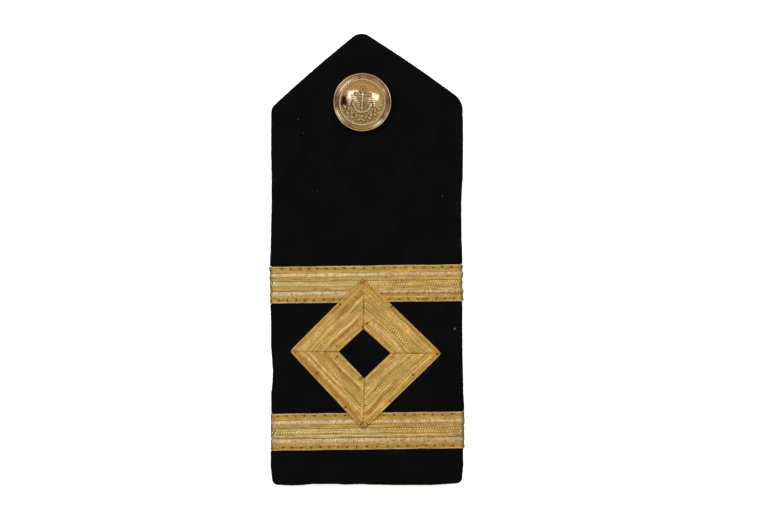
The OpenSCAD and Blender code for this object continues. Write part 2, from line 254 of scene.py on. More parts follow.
@dataclass(frozen=True)
class ClothFinish(Finish):
    """Dull black wool cloth with a pebbled weave."""

    colour: Colour = (0.0013, 0.0014, 0.0016)
    worn: Colour = (0.0026, 0.0026, 0.0027)
    pitch: float = 0.52
    weave_depth: float = 0.09

    def dress(self, tree: Tree) -> None:
        """Weaves rows of pebbles that step by half a pitch, under a thin nap.

        Args:
            tree: The node tree to fill.
        """
        place = tree.place()
        x, y, z = tree.split(place)
        turn = 2 * math.pi / self.pitch
        across = ((x + z) * turn).sine()
        along = ((y + z) * turn).sine()
        slant = ((x - y) * (turn / 2)).sine()
        nap = tree.noise(place, 5.0, 3.0)
        patch = tree.noise(place, 0.12, 3.0)
        pebbles = across * along * 0.6 + slant * 0.25
        colour = tree.mix(patch.rise(0.35, 0.75), self.colour, self.worn)
        colour = tree.shade(colour, pebbles * 0.3 + nap * 0.6 + 0.7)
        tree.surface({
            "Base Color": colour,
            "Roughness": nap * 0.12 + 0.84,
            "Specular IOR Level": 0.06,
            "Sheen Weight": 0.012,
            "Sheen Roughness": 0.45,
            "Normal": tree.bump(pebbles + nap * 0.9, self.weave_depth),
        })


@dataclass(frozen=True)
class LaceFinish(Finish):
    """Woven gold lace: gold bands, two pale ribbed stripes and a dotted centre."""

    seed: float = 0.0
    outer: Colour = (0.39, 0.218, 0.045)
    olive: Colour = (0.415, 0.275, 0.065)
    inner: Colour = (0.432, 0.275, 0.075)
    pale: Colour = (0.54, 0.422, 0.243)
    far_pale: Colour = (0.475, 0.338, 0.17)
    dots: Colour = (0.73, 0.585, 0.3)
    far_dots: Colour = (0.65, 0.44, 0.165)
    lattice: Colour = (0.255, 0.197, 0.062)
    selvedge: Colour = (0.46, 0.34, 0.165)
    line: Colour = (0.2, 0.11, 0.03)
    # Painted light on runs of threads: painted sheen, painted shade and painted shine, in that order
    painted_sheen: Colour = (0.56, 0.42, 0.23)
    shadow: Colour = (0.34, 0.185, 0.045)
    bright: Colour = (0.72, 0.56, 0.11)
    # Painted shade in the lace's low places
    groove: Colour = (0.18, 0.1, 0.018)
    pit: Colour = (0.18, 0.08, 0.004)
    heart: Colour = (0.03, 0.014, 0.002)
    # Painted shade where the lace turns down round the board's edge
    turned_shade: Colour = (0.17, 0.155, 0.085)
    fray: float = 1.0
    streaks: float = 1.0
    # How much darker the side towards the board's square end is
    dimmed: float = 0.06
    # Distance from the board's middle past which the lace turns down, where painted shade darkens it
    turned_from: float = 30.8

    def dress(self, tree: Tree) -> None:
        """Lays the bands out across the lace by the attribute that gives the place on it.

        The attribute holds the place along the lace, the place across it and the height, all in
        millimetres, so most steps below lie between two distances from the lace's centre line.

        Args:
            tree: The node tree to fill.
        """
        s, u, h = tree.split(tree.attribute("lay"))
        pit, painted_light = tree.amount("pit"), tree.amount("painted_light")
        rib = (s * (1 / Lace.rib_pitch)).floor()
        tuft = tree.noise(tree.join(rib * 3.7, u * 0.7, self.seed), 1.0, 1.0) - 0.5
        thread = self.varied(tree, s * 0.12, u * 2.1, 1.0)
        patch = self.varied(tree, s * 0.45, u * 1.2, 8.0)
        grain = self.varied(tree, s * 2.6, u * 2.2, 12.0)
        drift = self.varied(tree, s * 0.07, u * 0.35, 3.0)
        warm = self.varied(tree, s * 0.22, u * 1.6, 15.0)
        at = abs(u) + drift * 0.5
        ragged = (at + tuft * self.fray).rise(3.6, 3.9)
        pale = at.rise(2.34, 2.44) * (1.0 - ragged)

        far = s.rise(0.0, 10.0)
        dots = tree.mix(far, self.dots, self.far_dots)
        colour = tree.mix(h.rise(-0.14, -0.05), self.lattice, dots)
        colour = tree.mix(at.rise(0.86, 1.0), colour, self.inner)
        colour = tree.mix(at.rise(2.1, 2.24) * 0.7, colour, self.line)
        colour = tree.mix(at.rise(2.34, 2.44), colour, tree.mix(far, self.pale, self.far_pale))
        colour = tree.mix(ragged, colour, self.olive)
        colour = tree.mix(at.rise(4.3, 4.8), colour, self.outer)
        colour = tree.mix(at.rise(5.68, 5.8), colour, self.selvedge)
        # Painted sheen, painted shade and painted shine, from the runs of light and shade
        colour = tree.mix(painted_light.rise(0.0, 1.0) * 0.85, colour, self.painted_sheen)
        colour = tree.mix((0.0 - painted_light).rise(0.0, 1.0), colour, self.shadow)
        colour = tree.mix(painted_light.rise(1.05, 2.0), colour, self.bright)

        tint = tree.mix(warm.rise(-0.1, 0.14), (0.99, 1.05, 0.86), (1.04, 0.965, 0.98))
        settings = {"data_type": "RGBA", "blend_type": "MULTIPLY"}
        colour = tree.add("ShaderNodeMix", settings, {0: 1.0 - pale * 0.6, 6: colour, 7: tint}).outputs[2]
        tick = (s * (2 * math.pi / Lace.tick_pitch) + patch * 9.0).sine()
        streak = (thread * 1.2 + patch * 0.9) * (1.0 - pale * 0.55) + grain * 1.1
        streak = streak + tuft * (pale * 0.9 + 0.9) + tick * (pale * 0.17 + 0.04)
        colour = tree.shade(colour, streak * self.streaks + 1.0 - (0.0 - u).rise(0.6, 2.2) * self.dimmed)
        # Painted shade on the lace where it turns down round the board's edges
        turned = abs(s).rise(self.turned_from, self.turned_from + 0.9)
        colour = tree.mix(turned * (patch + 0.6), colour, self.turned_shade)
        # Painted shade, darker the lower the lace's surface lies
        colour = tree.mix((1.0 - h.rise(-0.2, -0.06)) * 0.55, colour, self.groove)
        colour = tree.mix(pit * 2.1, colour, self.pit)
        colour = tree.mix(pit.rise(1.0, 1.8), colour, self.heart)

        ply = ((s * 2.6 + u * 5.0) * (2 * math.pi)).sine()
        wire = tree.noise(tree.join(s * 1.2, u * 16.0, 4.0), 1.0, 2.0)
        tree.surface({
            "Base Color": colour,
            "Metallic": 0.42 - pale * 0.2,
            "Roughness": 0.45 + patch * 0.3,
            "Specular IOR Level": 0.2,
            "Normal": tree.bump(ply * 0.35 + wire * 1.2, 0.035),
        })

    def varied(self, tree: Tree, along: Value, across: Value, layer: float) -> Value:
        """Noise between -0.5 and 0.5, drawn out along the threads."""
        return tree.noise(tree.join(along, across, self.seed + layer), 1.0, 2.0) - 0.5


@dataclass(frozen=True)
class GiltFinish(Finish):
    """Polished gilt, browner where polish and dirt have settled and paler where it is worn, the same
    colours also painting shade and highlights.
    """

    colour: Colour = (0.89, 0.68, 0.365)
    reddish: Colour = (0.72, 0.45, 0.16)
    # Paler where worn, and painted highlights on the rope's beads and on the band
    worn: Colour = (1.0, 0.88, 0.64)
    # Brown of settled dirt, and painted shade in the recesses and on the band
    tarnish_and_shade: Colour = (0.09, 0.045, 0.012)

    def dress(self, tree: Tree) -> None:
        """Polishes the high places, browns the recesses with dirt and painted shade, and scratches both a
        little.

        Args:
            tree: The node tree to fill.
        """
        place = tree.place()
        x, y, z = tree.split(place)
        recess = tree.amount("recess")
        cloud = tree.noise(place, 0.6, 4.0)
        hair = tree.noise(tree.join(x * 9.0, y * 0.6, z), 1.0, 3.0)
        cross = tree.noise(tree.join(x * 0.7, (y + x * 0.5) * 8.0, z), 1.0, 3.0)
        patch = tree.noise(place, 1.6, 3.0)
        colour = tree.mix((cloud + patch).rise(0.85, 1.25) * 0.6, self.colour, self.reddish)
        # Paler where worn and where highlights are painted, browner where dirt settles and where shade is
        # painted
        colour = tree.mix((0.0 - recess).rise(0.0, 1.0), colour, self.worn)
        colour = tree.mix(recess * (cloud * 0.6 + 0.6), colour, self.tarnish_and_shade)
        tree.surface({
            "Base Color": colour,
            "Metallic": 1.0,
            "Roughness": 0.07 + cloud * 0.06 + tree.math("MAXIMUM", recess, 0.0) * 0.3,
            "Normal": tree.bump(hair + cross + cloud * 0.5, 0.006),
        })


@dataclass(frozen=True)
class BrassFinish(Finish):
    """Plain satin brass with turning marks."""

    colour: Colour = (0.6, 0.43, 0.19)
    dull: Colour = (0.34, 0.23, 0.1)

    def dress(self, tree: Tree) -> None:
        """Dulls the brass in patches and gives it fine marks.

        Args:
            tree: The node tree to fill.
        """
        place = tree.place()
        x, y, z = tree.split(place)
        cloud = tree.noise(place, 0.5, 4.0)
        marks = tree.noise(tree.join(x * 12.0, y * 0.8, z), 1.0, 3.0)
        tree.surface({
            "Base Color": tree.mix(cloud.rise(0.4, 0.75), self.colour, self.dull),
            "Metallic": 1.0,
            "Roughness": 0.3 + cloud * 0.2,
            "Normal": tree.bump(marks, 0.01),
        })


@dataclass(frozen=True)
class ThreadFinish(Finish):
    """Plain thread, fibre or nap in one colour that varies along it."""

    colour: Colour = (0.3, 0.18, 0.04)
    deep: Colour = (0.12, 0.07, 0.015)

    def dress(self, tree: Tree) -> None:
        """Varies the thread between its colour and a deeper one.

        Args:
            tree: The node tree to fill.
        """
        place = tree.place()
        tree.surface({
            "Base Color": tree.mix(tree.noise(place, 2.0, 2.0).rise(0.4, 0.7), self.colour, self.deep),
            "Roughness": 0.75,
            "Specular IOR Level": 0.15,
            "Normal": tree.bump(tree.noise(place, 9.0, 2.0), 0.02),
        })


@dataclass(frozen=True)
class FloorFinish(Finish):
    """A white table lit from below, which drowns the shadows."""

    glow: float = 0.75

    def dress(self, tree: Tree) -> None:
        """Makes a plain white surface with a glow of its own.

        Args:
            tree: The node tree to fill.
        """
        tree.surface({
            "Base Color": (0.93, 0.93, 0.93),
            "Roughness": 0.9,
            "Specular IOR Level": 0.1,
            "Emission Color": (1.0, 1.0, 1.0),
            "Emission Strength": self.glow,
        })


# Meshes


def smooth(low: float, high: float, x: np.ndarray) -> np.ndarray:
    """A smooth step from 0 at low to 1 at high."""
    t = np.clip((x - low) / (high - low), 0.0, 1.0)
    return t * t * (3 - 2 * t)


class Waver:
    """A smooth random line between -1 and 1, the same on every run."""

    count: int = 1024

    def __init__(self, seed: int, step: float) -> None:
        """Draws the values that the line passes through.

        Args:
            seed: The number that the draw starts from.
            step: The distance between two values.
        """
        self.values = np.random.default_rng(seed).uniform(-1.0, 1.0, self.count)
        self.step = step

    def __call__(self, x: np.ndarray) -> np.ndarray:
        """The line's height.

        Args:
            x: Places along the line.

        Returns:
            The height at each place.
        """
        t = np.asarray(x) / self.step + self.count / 2
        low = np.floor(t).astype(int)
        share = smooth(0.0, 1.0, t - low)
        first, second = self.values[low % self.count], self.values[(low + 1) % self.count]
        return first * (1 - share) + second * share


def read_points(mesh: bpy.types.Mesh) -> np.ndarray:
    """The mesh's points.

    Args:
        mesh: The mesh.

    Returns:
        One row for each point.
    """
    flat = np.zeros(len(mesh.vertices) * 3)
    mesh.vertices.foreach_get("co", flat)
    return flat.reshape(-1, 3)


def write_points(mesh: bpy.types.Mesh, points: np.ndarray) -> None:
    """Moves the mesh's points, one row each."""
    mesh.vertices.foreach_set("co", points.ravel())


def write_numbers(mesh: bpy.types.Mesh, name: str, kind: str, values: np.ndarray) -> None:
    """Keeps one value for each point as an attribute.

    Args:
        mesh: The mesh that gets the attribute.
        name: The attribute's name, which the material reads.
        kind: FLOAT or FLOAT_VECTOR.
        values: One number or one vector a point.
    """
    layer = mesh.attributes.new(name, kind, "POINT")
    field = "value" if kind == "FLOAT" else "vector"
    layer.data.foreach_set(field, np.ascontiguousarray(values, dtype=np.float32).ravel())


def close_up(bm: bmesh.types.BMesh) -> None:
    """Merges doubles, then turns every face outwards."""
    bmesh.ops.remove_doubles(bm, verts=bm.verts, dist=DOUBLES)
    bmesh.ops.recalc_face_normals(bm, faces=bm.faces)


def new_mesh(bm: bmesh.types.BMesh, name: str) -> bpy.types.Mesh:
    """Turns a bmesh into a mesh and frees it.

    Args:
        bm: The bmesh.
        name: The name of the mesh.

    Returns:
        The new mesh.
    """
    mesh = bpy.data.meshes.new(name)
    bm.to_mesh(mesh)
    bm.free()
    return mesh


def show(name: str, data: bpy.types.ID) -> bpy.types.Object:
    """Adds an object to the scene.

    Args:
        name: Its name.
        data: Its mesh, lamp or camera.

    Returns:
        The object.
    """
    thing = bpy.data.objects.new(name, data)
    bpy.context.scene.collection.objects.link(thing)
    return thing


def turned_at(x: float, y: float, z: float, turn: float) -> Matrix:
    """A place, turned about the Z axis by an angle in radians."""
    return Matrix.Translation((x, y, z)) @ Matrix.Rotation(turn, 4, "Z")


def add_piece(
    mesh: bpy.types.Mesh,
    finish: Finish,
    replaced: Sequence[str] = (),
    crease: float = 50.0,
) -> bpy.types.Object:
    """Makes a mesh in millimetres a piece that rides on the frame.

    Args:
        mesh: The mesh, named as its piece will be.
        finish: What it is made of.
        replaced: The CAD nodes that it stands for.
        crease: The angle in degrees past which an edge is shown sharp.

    Returns:
        The new piece, in metres, at the origin.
    """
    mesh.transform(Matrix.Scale(MM, 4))
    mesh.polygons.foreach_set("use_smooth", [True] * len(mesh.polygons))
    mesh.set_sharp_from_angle(angle=math.radians(crease))
    mesh.materials.append(finish.material())
    piece = show(mesh.name, mesh)
    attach(piece, BODY)
    if replaced:
        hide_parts(*replaced)
    mesh.calc_loop_triangles()
    log.info("%s: %d triangles", mesh.name, len(mesh.loop_triangles))
    return piece


def lathe(profile: Sequence[tuple[float, float]], steps: int) -> bmesh.types.BMesh:
    """Turns a profile round the Z axis.

    Args:
        profile: Radius and height of each point, with no point left open off the axis.
        steps: The number of stops in a full turn.

    Returns:
        The closed shape, round the origin.
    """
    bm = bmesh.new()
    verts = [bm.verts.new((r, 0.0, z)) for r, z in profile]
    edges = [bm.edges.new(pair) for pair in zip(verts, verts[1:])]
    bmesh.ops.spin(
        bm, geom=verts + edges, cent=(0, 0, 0), axis=(0, 0, 1), dvec=(0, 0, 0),
        angle=2 * math.pi, steps=steps, use_merge=True, use_duplicate=False,
    )
    close_up(bm)
    return bm


def tube(path: Sequence[Vector], radii: Sequence[float], sides: int) -> bpy.types.Mesh:
    """A closed thread along a path.

    Args:
        path: The points that it follows.
        radii: Its radius at each point.
        sides: The number of its sides.

    Returns:
        The thread's mesh.
    """
    bm = bmesh.new()
    ring = bmesh.ops.create_circle(bm, cap_ends=True, segments=sides, radius=1.0)["verts"]
    shape = [vert.co.copy() for vert in ring]
    for k, point in enumerate(path):
        way = path[min(k + 1, len(path) - 1)] - path[max(k - 1, 0)]
        turned = way.to_track_quat("Z", "Y").to_matrix()
        if k:
            face = next(f for f in bm.faces if set(f.verts) == set(ring))
            made = bmesh.ops.extrude_discrete_faces(bm, faces=[face])
            bm.faces.ensure_lookup_table()
            top = made["faces"][0]
            ring = list(top.verts)
        for vert, co in zip(ring, shape):
            vert.co = point + turned @ (co * radii[k])
    close_up(bm)
    return new_mesh(bm, "thread")


class Stamp:
    """A small mesh that is set down many times in one piece."""

    def __init__(self, mesh: bpy.types.Mesh, name: str) -> None:
        """Keeps the small mesh and starts an empty piece.

        Args:
            mesh: The small mesh.
            name: The name of the piece.
        """
        self.mesh = mesh
        self.name = name
        self.points = read_points(mesh)
        self.bm = bmesh.new()

    def put(self, place: Matrix) -> None:
        """Sets the small mesh down once.

        Args:
            place: Where it goes, with its turn and its size.
        """
        turn = np.array(place.to_3x3()).T
        write_points(self.mesh, self.points @ turn + np.array(place.translation))
        self.bm.from_mesh(self.mesh)

    def finish(self) -> bpy.types.Mesh:
        """The mesh of all that was set down."""
        bpy.data.meshes.remove(self.mesh)
        return new_mesh(self.bm, self.name)


# Outlines


@dataclass(frozen=True)
class Corner:
    """One round corner of an outline, and the bow of the run that follows it."""

    x: float
    y: float
    radius: float
    bow: float = 0.0


def run_turn(a: Corner, b: Corner) -> float:
    """The outward direction of the straight run between two corners, in radians."""
    far = math.hypot(b.x - a.x, b.y - a.y)
    return math.atan2(b.y - a.y, b.x - a.x) - math.acos((a.radius - b.radius) / far)


def belt(corners: Sequence[Corner], step: float, corner_steps: int) -> np.ndarray:
    """The outline that goes round corners as a belt does.

    Args:
        corners: The corners, anticlockwise.
        step: The distance between points on the runs.
        corner_steps: The number of steps round each corner.

    Returns:
        One row a point: x, y and the outward direction in radians.
    """
    rows: list[tuple[float, float, float]] = []
    for i, a in enumerate(corners):
        b = corners[(i + 1) % len(corners)]
        start = run_turn(corners[i - 1], a)
        end = run_turn(a, b)
        while end < start:
            end += 2 * math.pi
        for k in range(corner_steps + 1):
            turn = start + (end - start) * k / corner_steps
            rows.append((a.x + a.radius * math.cos(turn), a.y + a.radius * math.sin(turn), turn))
        out = (math.cos(end), math.sin(end))
        first = (a.x + a.radius * out[0], a.y + a.radius * out[1])
        last = (b.x + b.radius * out[0], b.y + b.radius * out[1])
        count = max(1, round(math.dist(first, last) / step))
        for k in range(1, count):
            t = k / count
            bow = 4 * t * (1 - t) * a.bow
            x = first[0] + t * (last[0] - first[0]) + bow * out[0]
            y = first[1] + t * (last[1] - first[1]) + bow * out[1]
            rows.append((x, y, end))
    return np.array(rows)


def slab(
    outline: np.ndarray,
    inset: np.ndarray,
    heights: np.ndarray,
    hole: tuple[float, float, float],
    grid: float,
) -> bmesh.types.BMesh:
    """A thick sheet with a soft edge and one round hole.

    Args:
        outline: x, y and outward direction of each point of its widest ring.
        inset: How far each ring of the edge stands in, from the lowest to the highest.
        heights: The height of each ring.
        hole: The middle and the radius of the hole.
        grid: The pitch of the lines that its faces are cut along.

    Returns:
        The closed shape.
    """
    bm = bmesh.new()
    order = bm.verts.layers.int.new("order")
    count = len(outline)
    out = np.stack([np.cos(outline[:, 2]), np.sin(outline[:, 2])], axis=1)
    rings = [outline[:, :2] - i * out for i in inset]
    verts = [bm.verts.new((x, y, heights[0])) for x, y in rings[0]]
    for k, vert in enumerate(verts):
        vert[order] = k
    edges = [bm.edges.new((verts[k], verts[(k + 1) % count])) for k in range(count)]
    lowest = edges
    for ring, height in zip(rings[1:], heights[1:]):
        made = bmesh.ops.extrude_edge_only(bm, edges=edges)["geom"]
        for vert in (item for item in made if isinstance(item, bmesh.types.BMVert)):
            vert.co = (*ring[vert[order]], height)
        edges = [item for item in made if isinstance(item, bmesh.types.BMEdge)]
    rims = []
    for loop, height, up in ((lowest, heights[0], -1.0), (edges, heights[-1], 1.0)):
        middle = Matrix.Translation((hole[0], hole[1], height))
        circle = bmesh.ops.create_circle(bm, segments=48, radius=hole[2], matrix=middle)["verts"]
        rim = list(dict.fromkeys(edge for vert in circle for edge in vert.link_edges))
        bmesh.ops.triangle_fill(bm, use_beauty=True, edges=list(loop) + rim, normal=(0, 0, up))
        rims += rim
    bmesh.ops.bridge_loops(bm, edges=rims)
    low, high = outline[:, :2].min(axis=0), outline[:, :2].max(axis=0)
    for axis in (0, 1):
        normal = Vector((1 - axis, axis, 0))
        for at in np.arange(low[axis] + grid, high[axis] - grid / 2, grid):
            geom = bm.verts[:] + bm.edges[:] + bm.faces[:]
            bmesh.ops.bisect_plane(bm, geom=geom, dist=SNAP, plane_co=normal * at, plane_no=normal)
    close_up(bm)
    return bm


def soft_edge(radius: float, thickness: float, steps: int) -> tuple[np.ndarray, np.ndarray]:
    """The rounded edge of a slab.

    Args:
        radius: The radius at its lower and upper corner.
        thickness: Its thickness.
        steps: The number of steps in each corner.

    Returns:
        How far each ring stands in, and its height.
    """
    turn = np.linspace(0.0, math.pi / 2, steps + 1)
    inset = radius * (1 - np.sin(turn))
    height = radius * (1 - np.cos(turn))
    return np.concatenate([inset, inset[::-1]]), np.concatenate([height, thickness - height[::-1]])


# Where things are


class Side(Enum):
    """The two long sides of the board."""

    LEFT = -1
    RIGHT = 1


@dataclass(frozen=True)
class Layout:
    """The sizes that the CAD model gives, in millimetres."""

    width: float = 63.5
    length: float = 150.0
    thickness: float = 3.6
    edge_radius: float = 1.2
    lace_width: float = 12.3
    lace_thickness: float = 0.6
    lace_turn: float = 6.0
    lace_pinch: float = 0.6
    lace_tilt: float = math.radians(0.75)
    upper_lace_y: float = -8.2
    lower_lace_y: float = -57.1
    climb: float = 4.0
    wander: float = 0.5
    nap: float = 0.15
    gap: float = 0.1
    diamond_middle: tuple[float, float] = (-0.45, -31.35)
    diamond_half: tuple[float, float] = (25.6, 26.3)
    strap_z: float = 0.9
    strap_thickness: float = 1.5
    strap_width: float = 22.0
    strap_inset: float = 9.0
    strap_past: float = 9.0
    button_x: float = -1.5
    button_y: float = 52.1
    hole_radius: float = 1.7

    @property
    def board_z(self) -> float:
        """Height of the board's underside."""
        return self.strap_z + self.strap_thickness + self.gap

    @property
    def top_z(self) -> float:
        """Height of the board's front."""
        return self.board_z + self.thickness

    @property
    def lace_z(self) -> float:
        """Height of the underside of lace that lies on the cloth."""
        return self.top_z + self.gap

    @property
    def over_z(self) -> float:
        """Height of the underside of lace that lies on a stripe."""
        return self.lace_z + self.lace_thickness + self.gap


LAYOUT = Layout()

# Corners of the board, anticlockwise from the lower left
BOARD_CORNERS = (
    Corner(-LAYOUT.width / 2 + 2.1, -LAYOUT.length / 2 + 2.1, 2.1),
    Corner(LAYOUT.width / 2 - 2.1, -LAYOUT.length / 2 + 2.1, 2.1),
    Corner(LAYOUT.width / 2 - 6.0, LAYOUT.length / 2 - 25.2, 6.0, 0.35),
    Corner(-1.8, LAYOUT.length / 2 - 4.4, 4.4, 0.3),
    Corner(-LAYOUT.width / 2 + 3.8, LAYOUT.length / 2 - 26.3, 3.8),
)

# Wander of the two long sides: share of the length, then shares of the wander left and right
SIDE_WANDER = np.array([
    [0.000, -0.6, -0.6], [0.016, -0.5, -0.3], [0.042, 0.4, 0.5], [0.069, 0.3, 0.3],
    [0.119, -0.4, 0.8], [0.175, 0.0, 1.1], [0.202, 0.0, 0.5], [0.228, -0.9, 0.4],
    [0.255, -1.1, 0.2], [0.281, -0.5, 0.0], [0.308, 0.1, -0.1], [0.361, 0.1, -0.2],
    [0.388, 0.4, -0.1], [0.445, 0.6, -0.1], [0.494, 0.8, -0.2], [0.521, 0.4, -0.3],
    [0.547, 0.2, -0.7], [0.600, -0.1, -0.8], [0.627, -0.3, -0.8], [0.654, -0.2, -0.5],
    [0.680, -0.3, 0.1], [0.734, 0.1, 0.3], [0.804, 0.0, 0.3], [0.822, 0.0, 0.0],
    [1.000, 0.0, 0.0],
])

# Wander of the square end: share of the width from the left, then share of the wander
END_WANDER = np.array([
    [0.00, 0.0], [0.05, 0.0], [0.11, 0.4], [0.17, 0.0], [0.21, -0.6], [0.34, -0.6],
    [0.38, -0.2], [0.46, -0.5], [0.63, 0.1], [0.84, 0.1], [0.93, -0.7], [1.00, -1.2],
])


def end_wander(x: np.ndarray) -> np.ndarray:
    """How far the square end wanders outwards at each x."""
    share = np.asarray(x) / LAYOUT.width + 0.5
    return LAYOUT.wander * np.interp(share, END_WANDER[:, 0], END_WANDER[:, 1])


def side_wander(y: np.ndarray, side: Side) -> np.ndarray:
    """How far a long side wanders outwards at each y."""
    share, column = np.asarray(y) / LAYOUT.length + 0.5, 1 if side is Side.LEFT else 2
    return LAYOUT.wander * np.interp(share, SIDE_WANDER[:, 0], SIDE_WANDER[:, column])


def stripe_end_y(lace_y: float, side: Side) -> float:
    """Where a stripe's centre line meets a long side."""
    return lace_y + side.value * math.tan(LAYOUT.lace_tilt) * LAYOUT.width / 2


def held_side(y: np.ndarray, lace_y: float, side: Side) -> np.ndarray:
    """How far a long side stands out where a stripe presses it in.

    Args:
        y: Places along the board.
        lace_y: The middle of the stripe.
        side: Which side.

    Returns:
        What is added to half the board's width at each place.
    """
    at = stripe_end_y(lace_y, side)
    lean = side.value * (np.asarray(y) - at) * math.tan(LAYOUT.lace_tilt)
    return side_wander(at, side) - LAYOUT.lace_pinch - lean


def side_out(y: np.ndarray, side: Side) -> np.ndarray:
    """How far a long side stands out with both stripes on it.

    Args:
        y: Places along the board.
        side: Which side.

    Returns:
        What is added to half the board's width at each place.
    """
    free = side_wander(y, side) + LAYOUT.nap
    flat = LAYOUT.lace_width / 2 + 0.03
    total = free
    for lace_y in (LAYOUT.upper_lace_y, LAYOUT.lower_lace_y):
        away = np.abs(y - stripe_end_y(lace_y, side))
        hold = np.interp(away, [flat, flat + 0.12], [1.0, 0.0])
        total = total + hold * (held_side(y, lace_y, side) - free)
    return total


def board_outline(step: float) -> np.ndarray:
    """The board's outline with its wander.

    Args:
        step: The distance between its points.

    Returns:
        One row a point: x, y and the outward direction in radians.
    """
    points = belt(BOARD_CORNERS, step, 12)
    x, y, turn = points.T
    left = side_out(y, Side.LEFT)
    right = side_out(y, Side.RIGHT)
    reach = np.where(np.cos(turn) < 0, left, right)
    points[:, 0] = x + np.cos(turn) * reach
    points[:, 1] = y + np.minimum(0.0, np.sin(turn)) * end_wander(x) + np.sin(turn) * LAYOUT.nap
    return points


# Sub-assemblies


@dataclass(frozen=True)
class Board:
    """The stiff board in its cloth, with the nap and the lint on it."""

    layout: Layout = LAYOUT
    cloth: Finish = ClothFinish("black_cloth", "cloth")
    nap: Finish = ThreadFinish("black_nap", "cloth", (0.006, 0.006, 0.006), (0.003, 0.003, 0.003))
    lint: Finish = ThreadFinish("pale_lint", "cloth", (0.42, 0.42, 0.41), (0.22, 0.22, 0.21))
    seed: int = 11
    step: float = 0.15
    grid: float = 1.9
    roughness: float = 0.035
    swell_depth: float = 0.07
    pucker_depth: float = 0.05
    edge_fibres: int = 4600
    front_fibres: int = 900
    # The front's part that has fibres: half its width, its lowest and its highest place
    front: tuple[float, float, float] = (29.0, -73.0, 70.0)
    # The point's edges: middle, half width, height of their feet and slope
    point: tuple[float, float, float, float] = (-1.0, 24.0, 49.0, 1.02)
    button_room: float = 10.5

    def build(self) -> None:
        """Builds the board, its nap and its lint."""
        self.cover()
        self.fuzz()
        self.specks()

    def cover(self) -> None:
        """The cloth-covered board, with a soft edge and a front that isn't quite flat."""
        layout = self.layout
        outline = board_outline(self.step)
        rough = self.roughness * Waver(self.seed, 0.5)(np.arange(len(outline)) * self.step)
        outline[:, 0] += rough * np.cos(outline[:, 2])
        outline[:, 1] += rough * np.sin(outline[:, 2])
        inset, height = soft_edge(layout.edge_radius, layout.thickness, 7)
        hole = (layout.button_x, layout.button_y, layout.hole_radius)
        shape = slab(outline, inset, height + layout.board_z, hole, self.grid)
        mesh = new_mesh(shape, "board_cloth")
        points = read_points(mesh)
        x, y, z = points.T
        swell = Waver(5, 13.0)(x + 0.4 * y) * Waver(6, 17.0)(y - 0.3 * x)
        pucker = Waver(7, 3.2)(x * 0.9 + y * 0.35) * Waver(8, 4.1)(y * 0.9 - x * 0.2)
        dip = 0.5 * (1 + swell) * self.swell_depth + 0.5 * (1 + pucker) * self.pucker_depth
        upper = smooth(layout.board_z + 2.6, layout.top_z, z)
        points[:, 2] = z - dip * upper
        write_points(mesh, points)
        add_piece(mesh, self.cloth, ["board"])

    def fuzz(self) -> None:
        """The nap: short fibres that stand out of the cloth, most of them at its edge."""
        layout = self.layout
        draw = np.random.default_rng(self.seed)
        bent = ((0, 0, 0), (0.06, 0, 0.35), (0.22, 0.03, 0.7), (0.5, 0.1, 1))
        path = [Vector(point) for point in bent]
        stamp = Stamp(tube(path, (0.03, 0.024, 0.018, 0.008), 3), "board_nap")
        outline = board_outline(0.6)
        radius = layout.edge_radius
        for _ in range(self.edge_fibres):
            x, y, turn = outline[draw.integers(len(outline))]
            slope = draw.uniform(-0.35 * math.pi, 0.45 * math.pi)
            if self.under_lace(x, y):
                continue
            flat = math.cos(slope)
            out = Vector((math.cos(turn) * flat, math.sin(turn) * flat, math.sin(slope)))
            middle = layout.top_z - radius if slope > 0 else layout.board_z + radius
            if abs(slope) < 0.2:
                middle = draw.uniform(layout.board_z + radius, layout.top_z - radius)
            foot = Vector((x - math.cos(turn) * radius, y - math.sin(turn) * radius, middle))
            self.plant(stamp, foot + out * (radius - 0.06), out, draw, draw.uniform(0.22, 0.62))
        half, low, high = self.front
        middle, half_point, foot, slope = self.point
        for _ in range(self.front_fibres):
            x = draw.uniform(-half, half)
            y = draw.uniform(low, high)
            near_button = math.dist((x, y), (layout.button_x, layout.button_y)) < self.button_room
            past_point = y > foot + slope * (half_point - abs(x - middle))
            if self.under_lace(x, y) or past_point or near_button:
                continue
            way = Vector((draw.normal(0, 1), draw.normal(0, 1), 0.45)).normalized()
            self.plant(stamp, Vector((x, y, layout.top_z - 0.16)), way, draw, draw.uniform(0.3, 0.7))
        add_piece(stamp.finish(), self.nap)

    def under_lace(self, x: float, y: float) -> bool:
        """Whether a stripe or the diamond lies on a place.

        Args:
            x: The place across the board.
            y: The place along it.

        Returns:
            True if it does.
        """
        layout = self.layout
        rise = math.tan(layout.lace_tilt) * x
        near = min(abs(y - layout.upper_lace_y - rise), abs(y - layout.lower_lace_y - rise))
        middle, half = layout.diamond_middle, layout.diamond_half
        inside = abs(x - middle[0]) / half[0] + abs(y - middle[1]) / half[1]
        return near < layout.lace_width / 2 + 0.3 or 0.28 < inside < 1.02

    @staticmethod
    def plant(
        stamp: Stamp, foot: Vector, out: Vector, draw: np.random.Generator, length: float
    ) -> None:
        """Plants one fibre at a foot, leaning away from the given direction.

        Args:
            stamp: The fibre and the piece that it goes into.
            foot: Where it starts.
            out: The direction that it mostly takes.
            draw: The source of its lean and turn.
            length: Its length.
        """
        lean = Vector(draw.normal(0.0, 0.35, 3))
        turned = (out + lean).normalized().to_track_quat("Z", "Y").to_matrix().to_4x4()
        spin = Matrix.Rotation(draw.uniform(0, 2 * math.pi), 4, "Z")
        size = Matrix.Diagonal((length, length, length, 1.0))
        stamp.put(Matrix.Translation(foot) @ turned @ spin @ size)

